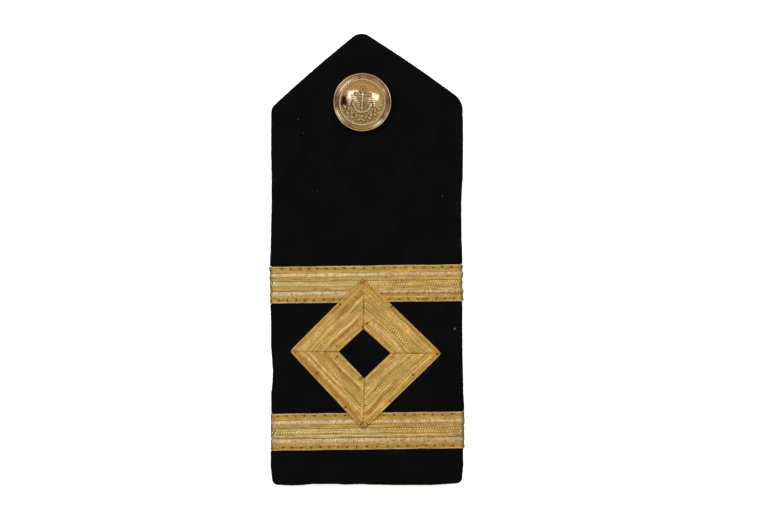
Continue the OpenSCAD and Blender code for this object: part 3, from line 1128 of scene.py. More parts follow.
    def specks(self) -> None:
        """A few specks of lint on the front, and one curled pale fibre."""
        draw = np.random.default_rng(self.seed + 1)
        steps = np.linspace(-1, 1, 9)
        curl = [Vector((0.12 * math.sin(2.4 * t), 0.35 * t, 0.1 * math.sin(3 * t))) for t in steps]
        radii = [0.03 + 0.05 * math.sin(math.pi * k / 8) for k in range(9)]
        stamp = Stamp(tube(curl, radii, 5), "lint")
        spots = (
            (-22.7, 46.6, 0.5), (-21.1, 41.9, 0.4), (-16.4, 22.7, 0.4), (9.2, 24.8, 0.4),
            (25.1, 20.9, 0.5), (29.27, -23.05, 1.15),
        )
        for x, y, size in spots:
            place = turned_at(x, y, self.layout.top_z + 0.02, draw.uniform(-0.4, 0.4))
            stamp.put(place @ Matrix.Diagonal((size, size, min(size, 0.8), 1.0)))
        add_piece(stamp.finish(), self.lint)


@dataclass(frozen=True)
class Stroke:
    """A run of threads on the lace that catches more light or less than those beside it.

    Its tone is -1 in shade, 1 in light and 2 where the threads shine.
    """

    start: float
    end: float
    u: float
    half: float
    tone: float


def runs(*rows: tuple[float, float, float, float, float]) -> tuple[Stroke, ...]:
    """Strokes from rows of their numbers: start, end, u, half and tone."""
    return tuple(Stroke(*row) for row in rows)


@dataclass
class Lace:
    """A length of woven gold lace: how its threads are set out and how its surface is raised.

    Each of its points is known by s, its place along the lace, and u, its place across it.
    """

    name: str
    start: float
    end: float
    # The number that all its unevenness is drawn from
    seed: int
    column: float = 0.105
    # Borders of its bands, as distances from the centre line
    centre_to: float = 0.95
    pale_from: float = 2.34
    pale_to: float = 3.76
    selvedge_from: float = 5.63
    dot_u: float = 0.45
    dot_half: tuple[float, float] = (0.31, 0.46)
    cord_height: float = 0.1
    dot_pitch: float = 0.85
    rib_pitch: float = 0.425
    tick_pitch: float = 0.62
    stitch_u: float = 5.2
    under_rows: tuple[float, ...] = (5.9, 4.4, 2.2, 0.0, -2.2, -4.4, -5.9)

    def stations(self) -> np.ndarray:
        """Where the front is sampled across the lace.

        Returns:
            Distances from the centre line, from - to +.
        """
        half = np.concatenate([
            np.linspace(0.0, 0.9, 7), np.linspace(1.0, 2.3, 13), np.linspace(2.4, 3.7, 7),
            np.linspace(3.8, 5.6, 17), [5.66, 5.76, 5.88, 6.0, 6.09, 6.14],
        ])
        return np.concatenate([-half[:0:-1], half])

    def __post_init__(self) -> None:
        """Makes a tube of lace, flat for now, with columns along it and rows round it."""
        stations = self.stations()
        across = np.concatenate([stations, self.under_rows, stations[:1]])
        columns, rows = round((self.end - self.start) / self.column), len(across) - 1
        along = np.linspace(self.start, self.end, columns + 1)
        bm = bmesh.new()
        grow = Matrix.Diagonal((columns / 2, rows / 2, 1.0, 1.0))
        bmesh.ops.create_grid(bm, x_segments=columns, y_segments=rows, size=1.0, matrix=grow)
        self.mesh = new_mesh(bm, self.name)
        flat = read_points(self.mesh)[:, :2]
        column, row = np.round(flat - flat.min(axis=0)).astype(int).T
        self.s, self.u = along[column], across[row]
        # The last row meets the first
        self.front = (row < len(stations)) | (row == rows)

    def scalloped(self, depth: float) -> np.ndarray:
        """Each point's u, once the outermost threads have scalloped the lace's edges."""
        wave = depth * np.sin(2 * np.pi * self.s / self.dot_pitch)
        return self.u + np.sign(self.u) * (wave * smooth(5.5, 6.1, np.abs(self.u)))

    def mark(self, height: np.ndarray, pits: np.ndarray, tone: np.ndarray, layer: float) -> None:
        """Keeps in the mesh what the lace's finish reads.

        Args:
            height: The height of each point.
            pits: How deep stitches pull it in.
            tone: How the light lies on it.
            layer: What is added to s, so that no two lengths share their noise.
        """
        lay = np.stack([self.s + layer, self.u, height], axis=1)
        write_numbers(self.mesh, "lay", "FLOAT_VECTOR", lay)
        write_numbers(self.mesh, "pit", "FLOAT", pits)
        write_numbers(self.mesh, "painted_light", "FLOAT", tone)

    def closed(self, cuts: Sequence[tuple[Vector, Vector]] = ()) -> bpy.types.Mesh:
        """Joins the lace's long edges underneath, cuts its ends and fills them.

        Args:
            cuts: A point on each cut, and the direction of what falls away.

        Returns:
            The lace's mesh, closed.
        """
        bm = bmesh.new()
        bm.from_mesh(self.mesh)
        bmesh.ops.remove_doubles(bm, verts=bm.verts, dist=DOUBLES)
        for place, outwards in (*cuts, (None, None)):
            if place is not None:
                bmesh.ops.bisect_plane(
                    bm, geom=bm.verts[:] + bm.edges[:] + bm.faces[:], dist=DOUBLES,
                    plane_co=place, plane_no=outwards, clear_outer=True,
                )
            ends = [edge for edge in bm.edges if edge.is_boundary]
            bmesh.ops.holes_fill(bm, edges=ends, sides=0)
        bmesh.ops.recalc_face_normals(bm, faces=bm.faces)
        bm.to_mesh(self.mesh)
        bm.free()
        return self.mesh

    def raised(self, pits: np.ndarray, loose: float) -> tuple[np.ndarray, np.ndarray]:
        """The front of the lace.

        Args:
            pits: How deep the stitches pull each point in, from 0 to 1.
            loose: How far its threads wander and swell, from 0 for taut lace.

        Returns:
            The height of each point under the full thickness, then the same with the lace's
            edges rounded off.
        """
        s, u, seed = self.s, self.u, self.seed
        a = np.abs(u)
        shift = Waver(seed, 2.3)(s) * 0.02
        height = np.full_like(s, -0.1)

        row = np.sign(u) * self.dot_u
        phase = np.where(u > 0, 0.5, 0.0)
        slant = 0.5 * (a - self.dot_u)
        step = ((s + shift + slant) / self.dot_pitch + phase) % 1.0 - 0.5
        long, wide = self.dot_half
        dot = 1 - (step * self.dot_pitch / long) ** 2 - ((u - row) / wide) ** 2
        flattened = 0.75 * loose * smooth(-0.1, 0.6, Waver(seed + 40, 5.0)(s + 0.8 * u))
        centre = -0.16 + 0.16 * np.sqrt(np.clip(dot, 0, 1))
        centre = centre * (1 - flattened) - 0.075 * flattened
        height = np.where(a < self.centre_to, centre, height)

        inner = (self.centre_to + 0.02, self.pale_from, 3, 0)
        outer = (self.pale_to, self.selvedge_from, 4, 7)
        for low, high, count, offset in (inner, outer):
            cord = (a - low) / (high - low) * count
            index = np.floor(cord)
            body = np.sqrt(np.clip(1 - (2 * (cord - index) - 1) ** 2, 0, 1))
            swell = Waver(seed + 3 + offset, 2.6)(s + index * 41.0 + np.sign(u) * 97.0)
            ply = np.sin(2 * np.pi * (s / self.tick_pitch + (cord - index) * 0.6 * np.sign(u)))
            form = -0.13 + self.cord_height * body * (1 + 0.25 * swell)
            form = form + 0.012 * ply * body + 0.02 * swell
            height = np.where((a >= low) & (a < high), form, height)

        rib = np.abs(np.sin(np.pi * (s + shift) / self.rib_pitch)) ** 0.6
        tuft = np.random.default_rng(seed + 20).uniform(-1, 1, 4096)
        which = np.floor((s + shift) / self.rib_pitch).astype(int)
        outer_edge = 3.68 + 0.1 * tuft[(which + np.where(u > 0, 900, 0)) % len(tuft)]
        across = smooth(2.36, 2.5, a) * (1 - smooth(outer_edge - 0.12, outer_edge + 0.06, a))
        pale = -0.17 + 0.17 * rib * across + 0.015 * tuft[(which * 3 + 11) % len(tuft)]
        height = np.where((a >= self.pale_from) & (a < self.pale_to), pale, height)

        scallop = np.sin(2 * np.pi * (s + shift) / self.dot_pitch)
        edge = -0.1 + 0.07 * np.sqrt(np.clip(1 - ((a - 5.86) / 0.24) ** 2, 0, 1)) + 0.012 * scallop
        height = np.where(a >= self.selvedge_from, edge, height)

        wave = Waver(seed + 31, 5.0)(s + 2.0 * u) * Waver(seed + 32, 3.0)(u + 0.15 * s)
        slack = Waver(seed + 33, 7.0)(s) * Waver(seed + 34, 1.4)(u + 0.05 * s)
        height = height - 0.02 - 0.02 * wave - 0.035 * loose * (1 + slack)
        height = height - 0.2 * np.clip(pits, 0, 1)
        rounded = height - 0.3 * smooth(5.98, 6.16, a) ** 1.5
        return height, rounded

    def stitches(self, rows: Sequence[Sequence[float]]) -> np.ndarray:
        """How deep the row of machine stitches on each edge pulls the lace in.

        Args:
            rows: The s of the upper row's stitches and of the lower row's.

        Returns:
            0 away from the stitches, and up to 1 in them.
        """
        draw = np.random.default_rng(self.seed + 50)
        deep = np.zeros_like(self.s)
        for sign, row in zip((1.0, -1.0), rows):
            for place in row:
                out = sign * self.u - self.stitch_u + draw.uniform(-0.08, 0.08)
                out = out / draw.uniform(0.33, 0.42)
                wide = draw.uniform(0.4, 0.54) * np.clip(1 + 0.4 * out, 0.4, 1.5)
                away = ((self.s - place) / wide) ** 2 + out ** 2
                deep = np.maximum(deep, np.clip(1.6 * (1 - away), 0, 1) * draw.uniform(0.6, 1.0))
        return deep

    def holes(self, places: Sequence[tuple[float, float, float]]) -> np.ndarray:
        """How deep hand stitches pull the lace in, with a crease across it at each.

        Args:
            places: The s, u and radius of each stitch.

        Returns:
            0 away from the stitches, up to 0.3 in the creases and up to 2 in the stitches.
        """
        s, u = self.s, self.u
        deep = np.zeros_like(s)
        for at_s, at_u, radius in places:
            away = np.hypot((s - at_s) * 0.85, u - at_u) / radius
            beside = 1 - smooth(0.5, 4.5 * radius, np.abs(u - at_u))
            crease = 0.3 * np.exp(-((s - at_s) / 0.14) ** 2) * beside
            deep = np.maximum(deep, np.maximum(crease, np.clip(2.6 * (1 - away ** 2), 0, 2)))
        return deep

    def painted_light(self, strokes: Sequence[Stroke]) -> np.ndarray:
        """How the light lies on the threads.

        Args:
            strokes: The runs that differ from the rest.

        Returns:
            The tone of each point: 0 for plain, otherwise as a stroke's tone.
        """
        s, u, seed = self.s, self.u, self.seed
        tone = np.zeros_like(s)
        for k, stroke in enumerate(strokes):
            middle = stroke.u + 0.3 * stroke.half * Waver(seed + 400 + k, 3.5)(s)
            half = stroke.half * (1 + 0.3 * Waver(seed + 500 + k, 2.0)(s))
            across = 1 - smooth(0.5, 1.2, np.abs(u - middle) / half)
            along = smooth(stroke.start, stroke.start + 2.0, s)
            along = along * (1 - smooth(stroke.end - 2.0, stroke.end, s))
            tone = tone + stroke.tone * across * along
        return np.clip(tone, -1, 2)


@dataclass(frozen=True)
class Stripe:
    """One stripe of lace, wrapped round both edges of the board and turned under."""

    name: str
    node: str
    lace_y: float
    seed: int
    finish: LaceFinish
    # Places along the lace of its upper and of its lower row of stitches
    rows: tuple[tuple[float, ...], tuple[float, ...]]
    strokes: tuple[Stroke, ...]
    # How far its threads stand out at the board's left and right side: place across it, then size
    bulges: tuple[tuple[tuple[float, float], ...], tuple[tuple[float, float], ...]]
    bend: float = 0.2
    pull: float = 0.05
    scallop: float = 0.05
    layout: Layout = LAYOUT

    def reaches(self) -> dict[Side, float]:
        """Measures how far the inner face of the loop reaches.

        Returns:
            The reach to each side.
        """
        reaches = {}
        for side in Side:
            held = float(held_side(stripe_end_y(self.lace_y, side), self.lace_y, side))
            reaches[side] = self.layout.width / 2 + held + self.layout.gap
        return reaches

    def half_length(self, reach: float) -> float:
        """Measures the loop's inner face on one side.

        Args:
            reach: How far it reaches to that side.

        Returns:
            The length from the middle of the front to the cut end.
        """
        layout = self.layout
        radius = layout.edge_radius + layout.gap
        drop = layout.thickness + 2 * layout.gap - 2 * radius
        return reach - radius + math.pi * radius + drop + layout.lace_turn - radius

    def wrapped(self, s: np.ndarray, u: np.ndarray, h: np.ndarray) -> tuple[np.ndarray, np.ndarray]:
        """Places in the section across the board.

        Args:
            s: Distance along the loop's inner face, from the middle of the front.
            u: Place across the lace.
            h: Height over that face.

        Returns:
            The x and the z of each place.
        """
        layout = self.layout
        radius = layout.edge_radius + layout.gap
        low, high = layout.board_z - layout.gap, layout.top_z + layout.gap
        x, z = np.zeros_like(s), np.zeros_like(s)
        for (side, reach), bulge in zip(self.reaches().items(), self.bulges):
            mine = s >= 0 if side is Side.RIGHT else s < 0
            swell = np.interp(u, *np.array(sorted(bulge)).T) * (h > 0)
            d = np.abs(s)
            flat = reach - radius
            arc = math.pi / 2 * radius
            drop = high - low - 2 * radius
            stops = np.cumsum([flat, arc, drop, arc])
            turns = [np.clip((d - stops[k]) / radius, 0, math.pi / 2) for k in (0, 2)]
            turn = turns[0] + turns[1]
            down = np.clip(d - stops[1], 0, drop)
            back = np.clip(d - stops[3], 0, None)
            over = radius + h + swell * np.sin(turn)
            side_x = np.minimum(d, flat) + over * np.sin(turn) - back
            side_z = high - radius - down + over * np.cos(turn)
            x = np.where(mine, side.value * side_x, x)
            z = np.where(mine, side_z, z)
        return x, z

    def build(self) -> None:
        layout = self.layout
        reach = self.reaches()
        start, end = -self.half_length(reach[Side.LEFT]), self.half_length(reach[Side.RIGHT])
        lace = Lace(self.name, start, end, self.seed)
        s, u = lace.s, lace.u
        pits = lace.stitches(self.rows)
        height, rounded = lace.raised(pits, 0.0)
        x, z = self.wrapped(s, u, np.where(lace.front, layout.lace_thickness + rounded, 0.0))
        pull = self.pull * Waver(self.seed + 70, 4.5)(s) * smooth(2.0, 6.0, np.abs(u))
        bend = self.bend * (1 - (u / (layout.lace_width / 2)) ** 2)
        wide = lace.scalloped(self.scallop) + pull + bend
        cos, sin = math.cos(layout.lace_tilt), math.sin(layout.lace_tilt)
        across, along = x * cos - wide * sin, self.lace_y + x * sin + wide * cos
        write_points(lace.mesh, np.stack([across, along, z], axis=1))
        lace.mark(height, pits, lace.painted_light(self.strokes), 0.0)
        piece = add_piece(lace.closed(), self.finish, [self.node], NO_CREASE)
        (end - start) * MM


UPPER_FINISH = LaceFinish("gold_lace_upper", "gold_lace")
LOWER_FINISH = LaceFinish("gold_lace_lower", "gold_lace", 40.0)
UPPER_ROWS = (
    (-28.2, -25.2, -22.1, -19.2, -16.4, -13.4, -10.4, -7.5, -4.2, -0.9, 2.4, 5.9, 9.3, 12.8,
     15.8, 19.1, 22.0, 25.1, 28.1),
    (-29.3, -26.5, -23.6, -20.6, -17.7, -14.4, -11.2, -8.6, 7.5, 10.7, 13.7, 16.8, 19.8, 23.0,
     26.0, 28.9),
)
LOWER_ROWS = (
    (-29.5, -26.7, -23.6, -20.6, -17.3, -13.8, -10.4, -7.1, 5.7, 9.1, 12.5, 15.8, 19.1, 22.0,
     25.2, 28.4),
    (-27.9, -25.0, -21.8, -18.6, -15.5, -12.5, -9.5, -6.6, -3.4, 0.0, 3.4, 6.9, 10.3, 13.5,
     16.6, 19.7, 22.4, 25.4, 28.3),
)
UPPER_STROKES = runs(
    (3, 36, -2.35, 0.42, 0.95), (2, 36, -3.4, 0.55, -0.85), (-13.5, -6.5, -1.58, 0.14, 2.0),
    (-34, -14, -4.5, 0.22, 0.35), (5, 33, -4.5, 0.3, 0.4), (-33, -12, 1.75, 0.2, -0.5),
    (-36, 3, -3.05, 0.6, -0.2),
)
LOWER_STROKES = runs(
    (-34, 31, -1.5, 0.18, 1.55), (-12, 14, -2.12, 0.13, -0.7), (-33, -10, 1.5, 0.3, -0.4),
    (10, 33, 1.7, 0.3, -0.6), (-20, 12, -4.3, 0.3, 0.25),
)
UPPER_BULGES = (
    ((5.6, 0.45), (4.9, 0.36), (4.2, 0.2), (3.6, 0.12), (2.9, 0.22), (2.6, 0.45), (1.9, 0.3),
     (1.2, 0.12), (0.6, 0.24), (-0.1, 0.15), (-0.8, 0.27), (-1.7, 0.17), (-2.4, 0.1),
     (-3.1, 0.34), (-3.7, 0.26), (-4.4, 0.1), (-5.1, 0.28), (-5.8, 0.3)),
    ((5.8, 0.24), (5.1, 0.48), (4.4, 0.12), (3.8, 0.08), (3.4, 0.4), (2.4, 0.43), (1.8, 0.32),
     (1.1, 0.1), (0.8, 0.05), (0.1, 0.18), (-0.6, 0.1), (-1.6, 0.03), (-2.2, 0.14),
     (-2.6, 0.38), (-3.6, 0.35), (-4.2, 0.22), (-5.2, 0.4), (-5.8, 0.4)),
)
LOWER_BULGES = (
    ((5.3, 0.38), (4.0, 0.36), (3.3, 0.26), (2.6, 0.3), (1.9, 0.44), (0.6, 0.42), (-0.7, 0.36),
     (-1.7, 0.46), (-2.2, 0.36), (-2.4, 0.12), (-2.6, 0.34), (-3.7, 0.46), (-4.7, 0.42),
     (-5.5, 0.46)),
    ((4.8, 0.36), (3.8, 0.3), (2.8, 0.4), (2.1, 0.45), (1.1, 0.14), (0.5, 0.32), (-0.9, 0.22),
     (-1.8, 0.32), (-2.5, 0.24), (-3.8, 0.26), (-4.4, 0.12), (-4.8, 0.14), (-5.5, 0.3)),
)


DIAMOND_FINISH = LaceFinish(
    "gold_lace_diamond", "gold_lace", 80.0,
    outer=(0.465, 0.282, 0.062), olive=(0.48, 0.315, 0.078), inner=(0.52, 0.345, 0.098),
    pale=(0.5, 0.325, 0.098), far_pale=(0.5, 0.325, 0.098),
    dots=(0.68, 0.5, 0.185), far_dots=(0.68, 0.5, 0.185), lattice=(0.44, 0.305, 0.088),
    selvedge=(0.46, 0.3, 0.095), line=(0.36, 0.2, 0.045), painted_sheen=(0.69, 0.49, 0.18),
    shadow=(0.34, 0.17, 0.032), fray=0.5, streaks=0.85, dimmed=0.0, turned_from=1000.0,
)


@dataclass(frozen=True)
class Diamond:
    """Four mitred lengths of lace that climb onto the stripes at the top and the bottom."""

    finish: LaceFinish = DIAMOND_FINISH
    thread: ThreadFinish = ThreadFinish("gold_thread", "gold_lace")
    layout: Layout = LAYOUT
    seed: int = 300
    tips: tuple[tuple[float, float], ...] = (
        (-1.15, -5.95), (-25.75, -30.55), (-1.15, -56.7), (25.05, -31.3),
    )
    # How far the laying by hand pulls each corner of the hole
    hole_pull: tuple[tuple[float, float], ...] = (
        (-0.1, 0.065), (-0.65, 0.1625), (-0.1, -0.325), (0.455, 0.0975),
    )
    names: tuple[str, ...] = (
        "diamond_top_left", "diamond_bottom_left", "diamond_bottom_right", "diamond_top_right",
    )
    # Hand stitches on the front: x, y and radius of the hole
    hand_stitches: tuple[tuple[float, float, float], ...] = (
        (-16.7, -37.95, 0.34), (-7.1, -49.15, 0.32), (15.3, -38.4, 0.34), (7.6, -47.2, 0.26),
        (-9.9, -32.35, 0.34), (-1.5, -39.3, 0.34), (-2.4, -39.95, 0.24), (-10.2, -28.75, 0.24),
        (-1.35, -22.5, 0.2), (8.3, -15.8, 0.34), (0.05, -21.4, 0.3), (-8.95, -14.9, 0.26),
        (-23.65, -30.9, 0.28), (23.45, -31.5, 0.34), (-1.65, -6.6, 0.24), (-0.6, -7.1, 0.26),
        (-1.2, -7.9, 0.22), (-2.0, -7.7, 0.22), (-2.0, -55.0, 0.26), (-1.5, -54.2, 0.22),
        (-1.6, -55.9, 0.24), (-0.6, -55.7, 0.22), (0.37, -55.6, 0.24), (0.1, -54.7, 0.2),
    )
    # Runs of threads in light and in shade on each length
    strokes: tuple[tuple[Stroke, ...], ...] = (
        runs(
            (2, 17, 3.0, 0.7, -0.75), (12, 25, 3.0, 0.35, -0.5), (16, 34, 3.65, 0.4, 0.95),
            (12, 18, 3.7, 0.25, 0.5), (5, 28, 1.6, 0.55, 0.5), (9, 25, -1.4, 0.4, 0.8),
            (10, 25, -2.5, 0.55, -0.8), (16, 24, -3.35, 0.15, 0.8), (9, 26, -3.1, 0.35, -0.7),
            (3, 34, 4.65, 0.45, 0.35),
        ),
        runs(
            (1, 32, 4.5, 0.65, -0.85), (2, 24, 3.3, 0.4, 0.8), (4, 21, 1.65, 0.35, 0.9),
            (4, 20, 2.5, 0.25, -0.5), (20, 31, 1.35, 0.25, -0.9), (22, 33, 2.6, 0.5, 0.6),
            (7, 27, -1.9, 0.7, -0.7), (14, 27, -3.0, 0.35, 0.7),
        ),
        runs(
            (2, 34, 3.95, 0.2, 0.8), (3, 13, 2.8, 0.8, -0.9), (12, 18, 2.8, 0.6, -0.35),
            (23, 33, 3.2, 0.4, -0.35), (5, 31, 1.8, 0.35, -0.4), (12, 24, -1.4, 0.45, -0.7),
            (9, 26, -2.6, 0.4, 0.6),
        ),
        runs(
            (2, 23, 4.9, 0.2, -0.7), (2, 23, 4.05, 0.28, 0.8), (5, 25, 2.9, 0.7, 0.4),
            (18, 24, 2.2, 0.35, 0.6), (11, 30, 1.6, 0.25, -0.6), (7, 28, -1.85, 0.2, -0.6),
            (7, 24, -2.4, 0.32, 1.0), (9, 25, -3.3, 0.55, 0.4),
        ),
    )
    # The fine lines beside the hole, on every length
    inner_lines: tuple[Stroke, ...] = runs(
        (0, 40, -4.0, 0.15, 0.8), (0, 40, -4.35, 0.17, -1.0), (0, 40, -4.67, 0.15, 0.7),
        (0, 40, -5.02, 0.18, -1.0), (0, 40, -5.38, 0.15, 0.7), (0, 40, 5.2, 0.16, -0.9),
    )
    tip_softness: float = 0.55
    seam_gap: float = 0.03
    seam_depth: float = 0.06
    bend: float = 0.42
    scallop: float = 0.04

    def tip(self, i: int) -> Vector:
        """One of the outer tips, counted round and round."""
        return Vector(self.tips[i % 4])

    def way(self, i: int) -> Vector:
        """The direction of the side that leaves a tip."""
        return (self.tip(i + 1) - self.tip(i)).normalized()

    def inwards(self, i: int) -> Vector:
        """The direction into the diamond from the side that leaves a tip."""
        way = self.way(i)
        return Vector((-way.y, way.x))

    def hole_corner(self, i: int) -> Vector:
        """The corner of the hole that lies inside a tip.

        Args:
            i: The tip.

        Returns:
            The corner's place on the board.
        """
        a, b = self.inwards(i + 3), self.inwards(i)
        mitre = (a + b) * (self.layout.lace_width / (1 + a.dot(b)))
        return self.tip(i) + mitre + Vector(self.hole_pull[i % 4])

    def mitre(self, i: int) -> Vector:
        """The direction of the mitre from a tip to the hole."""
        return (self.hole_corner(i) - self.tip(i)).normalized()

    def build(self) -> None:
        """Builds the four lengths and the hand stitches on them."""
        for i, name in enumerate(self.names):
            self.length_of_lace(i, name)
        self.threads()

    def base(self, x: np.ndarray, y: np.ndarray) -> np.ndarray:
        """Height of the underside of the lace, on the cloth or on a stripe.

        Args:
            x: Place across the board.
            y: Place along it.

        Returns:
            The height of each place.
        """
        layout = self.layout
        cos, sin = math.cos(layout.lace_tilt), math.sin(layout.lace_tilt)
        end = layout.lace_width / 2 + layout.gap
        share = np.zeros_like(x)
        for lace_y in (layout.upper_lace_y, layout.lower_lace_y):
            away = np.abs((y - lace_y) * cos - x * sin)
            share = np.maximum(share, 1 - smooth(end, end + layout.climb, away))
        return layout.lace_z + (layout.over_z - layout.lace_z) * share

    def length_of_lace(self, i: int, name: str) -> None:
        """Args:
            i: The tip that it leaves.
            name: The CAD node that it stands for.
        """
        layout = self.layout
        way, inwards, tip = self.way(i), self.inwards(i), self.tip(i)
        length = (self.tip(i + 1) - tip).length
        lace = Lace(name + "_lace", 0.0, length, self.seed + 100 * i)
        s, u = lace.s, lace.u
        pits = lace.holes([self.on_length(i, *stitch) for stitch in self.hand_stitches])
        height, rounded = lace.raised(pits, 1.0)
        bend = 1 - (u / (layout.lace_width / 2)) ** 2
        bend = self.bend * Waver(lace.seed + 1, 8.0)(s) * bend
        wide = lace.scalloped(self.scallop) + bend
        inset = (layout.lace_width / 2 - wide) * self.drawn_in(i, s)
        x = tip.x + way.x * s + inwards.x * inset
        y = tip.y + way.y * s + inwards.y * inset
        x, y, seam, seam_shade = self.joined(i, x, y)
        uneven = 0.75 + 0.25 * Waver(lace.seed + 9, 1.3)(s + u)
        sunk = self.seam_depth * (1 - smooth(0.05, 0.35, seam)) * uneven
        h = np.where(lace.front, layout.lace_thickness + rounded - sunk, 0.0)
        write_points(lace.mesh, np.stack([x, y, self.base(x, y) + np.maximum(h, 0.0)], axis=1))
        tone = lace.painted_light(self.strokes[i] + self.inner_lines)
        # The painted shade along the seams is kept with the stitches' pits
        lace.mark(height - sunk * 0.5, np.maximum(pits, seam_shade), tone, 60.0 * i)
        piece = add_piece(lace.closed(self.cuts(i)), self.finish, [name], NO_CREASE)

    def joined(
        self, i: int, x: np.ndarray, y: np.ndarray
    ) -> tuple[np.ndarray, np.ndarray, np.ndarray, np.ndarray]:
        """Softens a length's two tips, and finds its seams.

        Args:
            i: The tip that the length leaves.
            x: Place of each point across the board.
            y: Place along it.

        Returns:
            The softened x and y, the distance from the nearer seam and the painted shade along the seam
            there.
        """
        seam, seam_shade = np.full_like(x, 99.0), np.zeros_like(x)
        for k in (i, i + 1):
            tip, line = self.tip(k), self.mitre(k)
            away = np.abs(self.past_mitre(k, x, y))
            seam = np.minimum(seam, away)
            into = (x - tip.x) * line.x + (y - tip.y) * line.y
            # Painted shade in dashes along the seam, deeper away from the tip
            dash = 0.6 + 0.4 * Waver(self.seed + 9 + k % 4, 1.1)(into)
            dash = dash * (0.26 + 0.3 * smooth(6.5, 9.5, into))
            seam_shade = np.maximum(seam_shade, dash * (1 - smooth(0.03, 0.27, away)))
            push = np.sqrt(into ** 2 + self.tip_softness ** 2) - into
            near = np.abs(into)
            push = np.where(near < 4.0, push, 0.0) * (1 - smooth(2.5, 4.0, near))
            x, y = x + line.x * push, y + line.y * push
        return x, y, seam, seam_shade

    def drawn_in(self, i: int, s: np.ndarray) -> np.ndarray:
        """How the laying by hand narrows or widens one length.

        Args:
            i: The tip that it leaves.
            s: Places along it.

        Returns:
            The width at each place, as a share of the lace's full width.
        """
        corners = [self.hole_corner(k) - self.tip(i) for k in (i, i + 1)]
        along = [corner.dot(self.way(i)) for corner in corners]
        across = [corner.dot(self.inwards(i)) / self.layout.lace_width for corner in corners]
        return np.interp(s, along, across)

    def on_length(self, i: int, x: float, y: float, radius: float) -> tuple[float, float, float]:
        """A hand stitch's place on one length of lace.

        Args:
            i: The tip that the length leaves.
            x: The stitch's place across the board.
            y: Its place along the board.
            radius: Its radius.

        Returns:
            Its s, its u and its radius.
        """
        away = Vector((x, y)) - self.tip(i)
        along = away.dot(self.way(i))
        share = float(self.drawn_in(i, np.array([along]))[0])
        return along, self.layout.lace_width / 2 - away.dot(self.inwards(i)) / share, radius

    def past_mitre(self, i: int, x: np.ndarray, y: np.ndarray) -> np.ndarray:
        """Distance of each place from the mitre at a tip."""
        tip, line = self.tip(i), self.mitre(i)
        return (x - tip.x) * line.y - (y - tip.y) * line.x

    def cuts(self, i: int) -> list[tuple[Vector, Vector]]:
        """The two mitres of a length.

        Args:
            i: The tip that the length leaves.

        Returns:
            A point on each cut, and the direction of what falls away.
        """
        cuts = []
        for k, sign in ((i, 1.0), (i + 1, -1.0)):
            line = self.mitre(k)
            outwards = Vector((-line.y, line.x, 0.0))
            if outwards.xy.dot(self.way(i)) * sign > 0:
                outwards.negate()
            place = Vector((*self.tip(k), 0.0)) - outwards * (self.seam_gap / 2)
            cuts.append((place, outwards))
        return cuts

    def threads(self) -> None:
        """The short gold threads of the hand stitches."""
        draw = np.random.default_rng(self.seed)
        arch = ((-0.45, -0.12), (-0.25, 0.03), (0.0, 0.07), (0.25, 0.02), (0.45, -0.14))
        path = [Vector((x, 0.0, z)) for x, z in arch]
        stamp = Stamp(tube(path, (0.04, 0.055, 0.06, 0.055, 0.04), 6), "diamond_stitches")
        for x, y, radius in self.hand_stitches:
            turn = draw.uniform(0, math.pi)
            foot = float(self.base(np.array([x]), np.array([y]))[0])
            z = foot + self.layout.lace_thickness - 0.16
            off = radius + 0.15
            stamp.put(turned_at(x + off * math.cos(turn), y + off * math.sin(turn), z, turn))
        add_piece(stamp.finish(), self.thread)


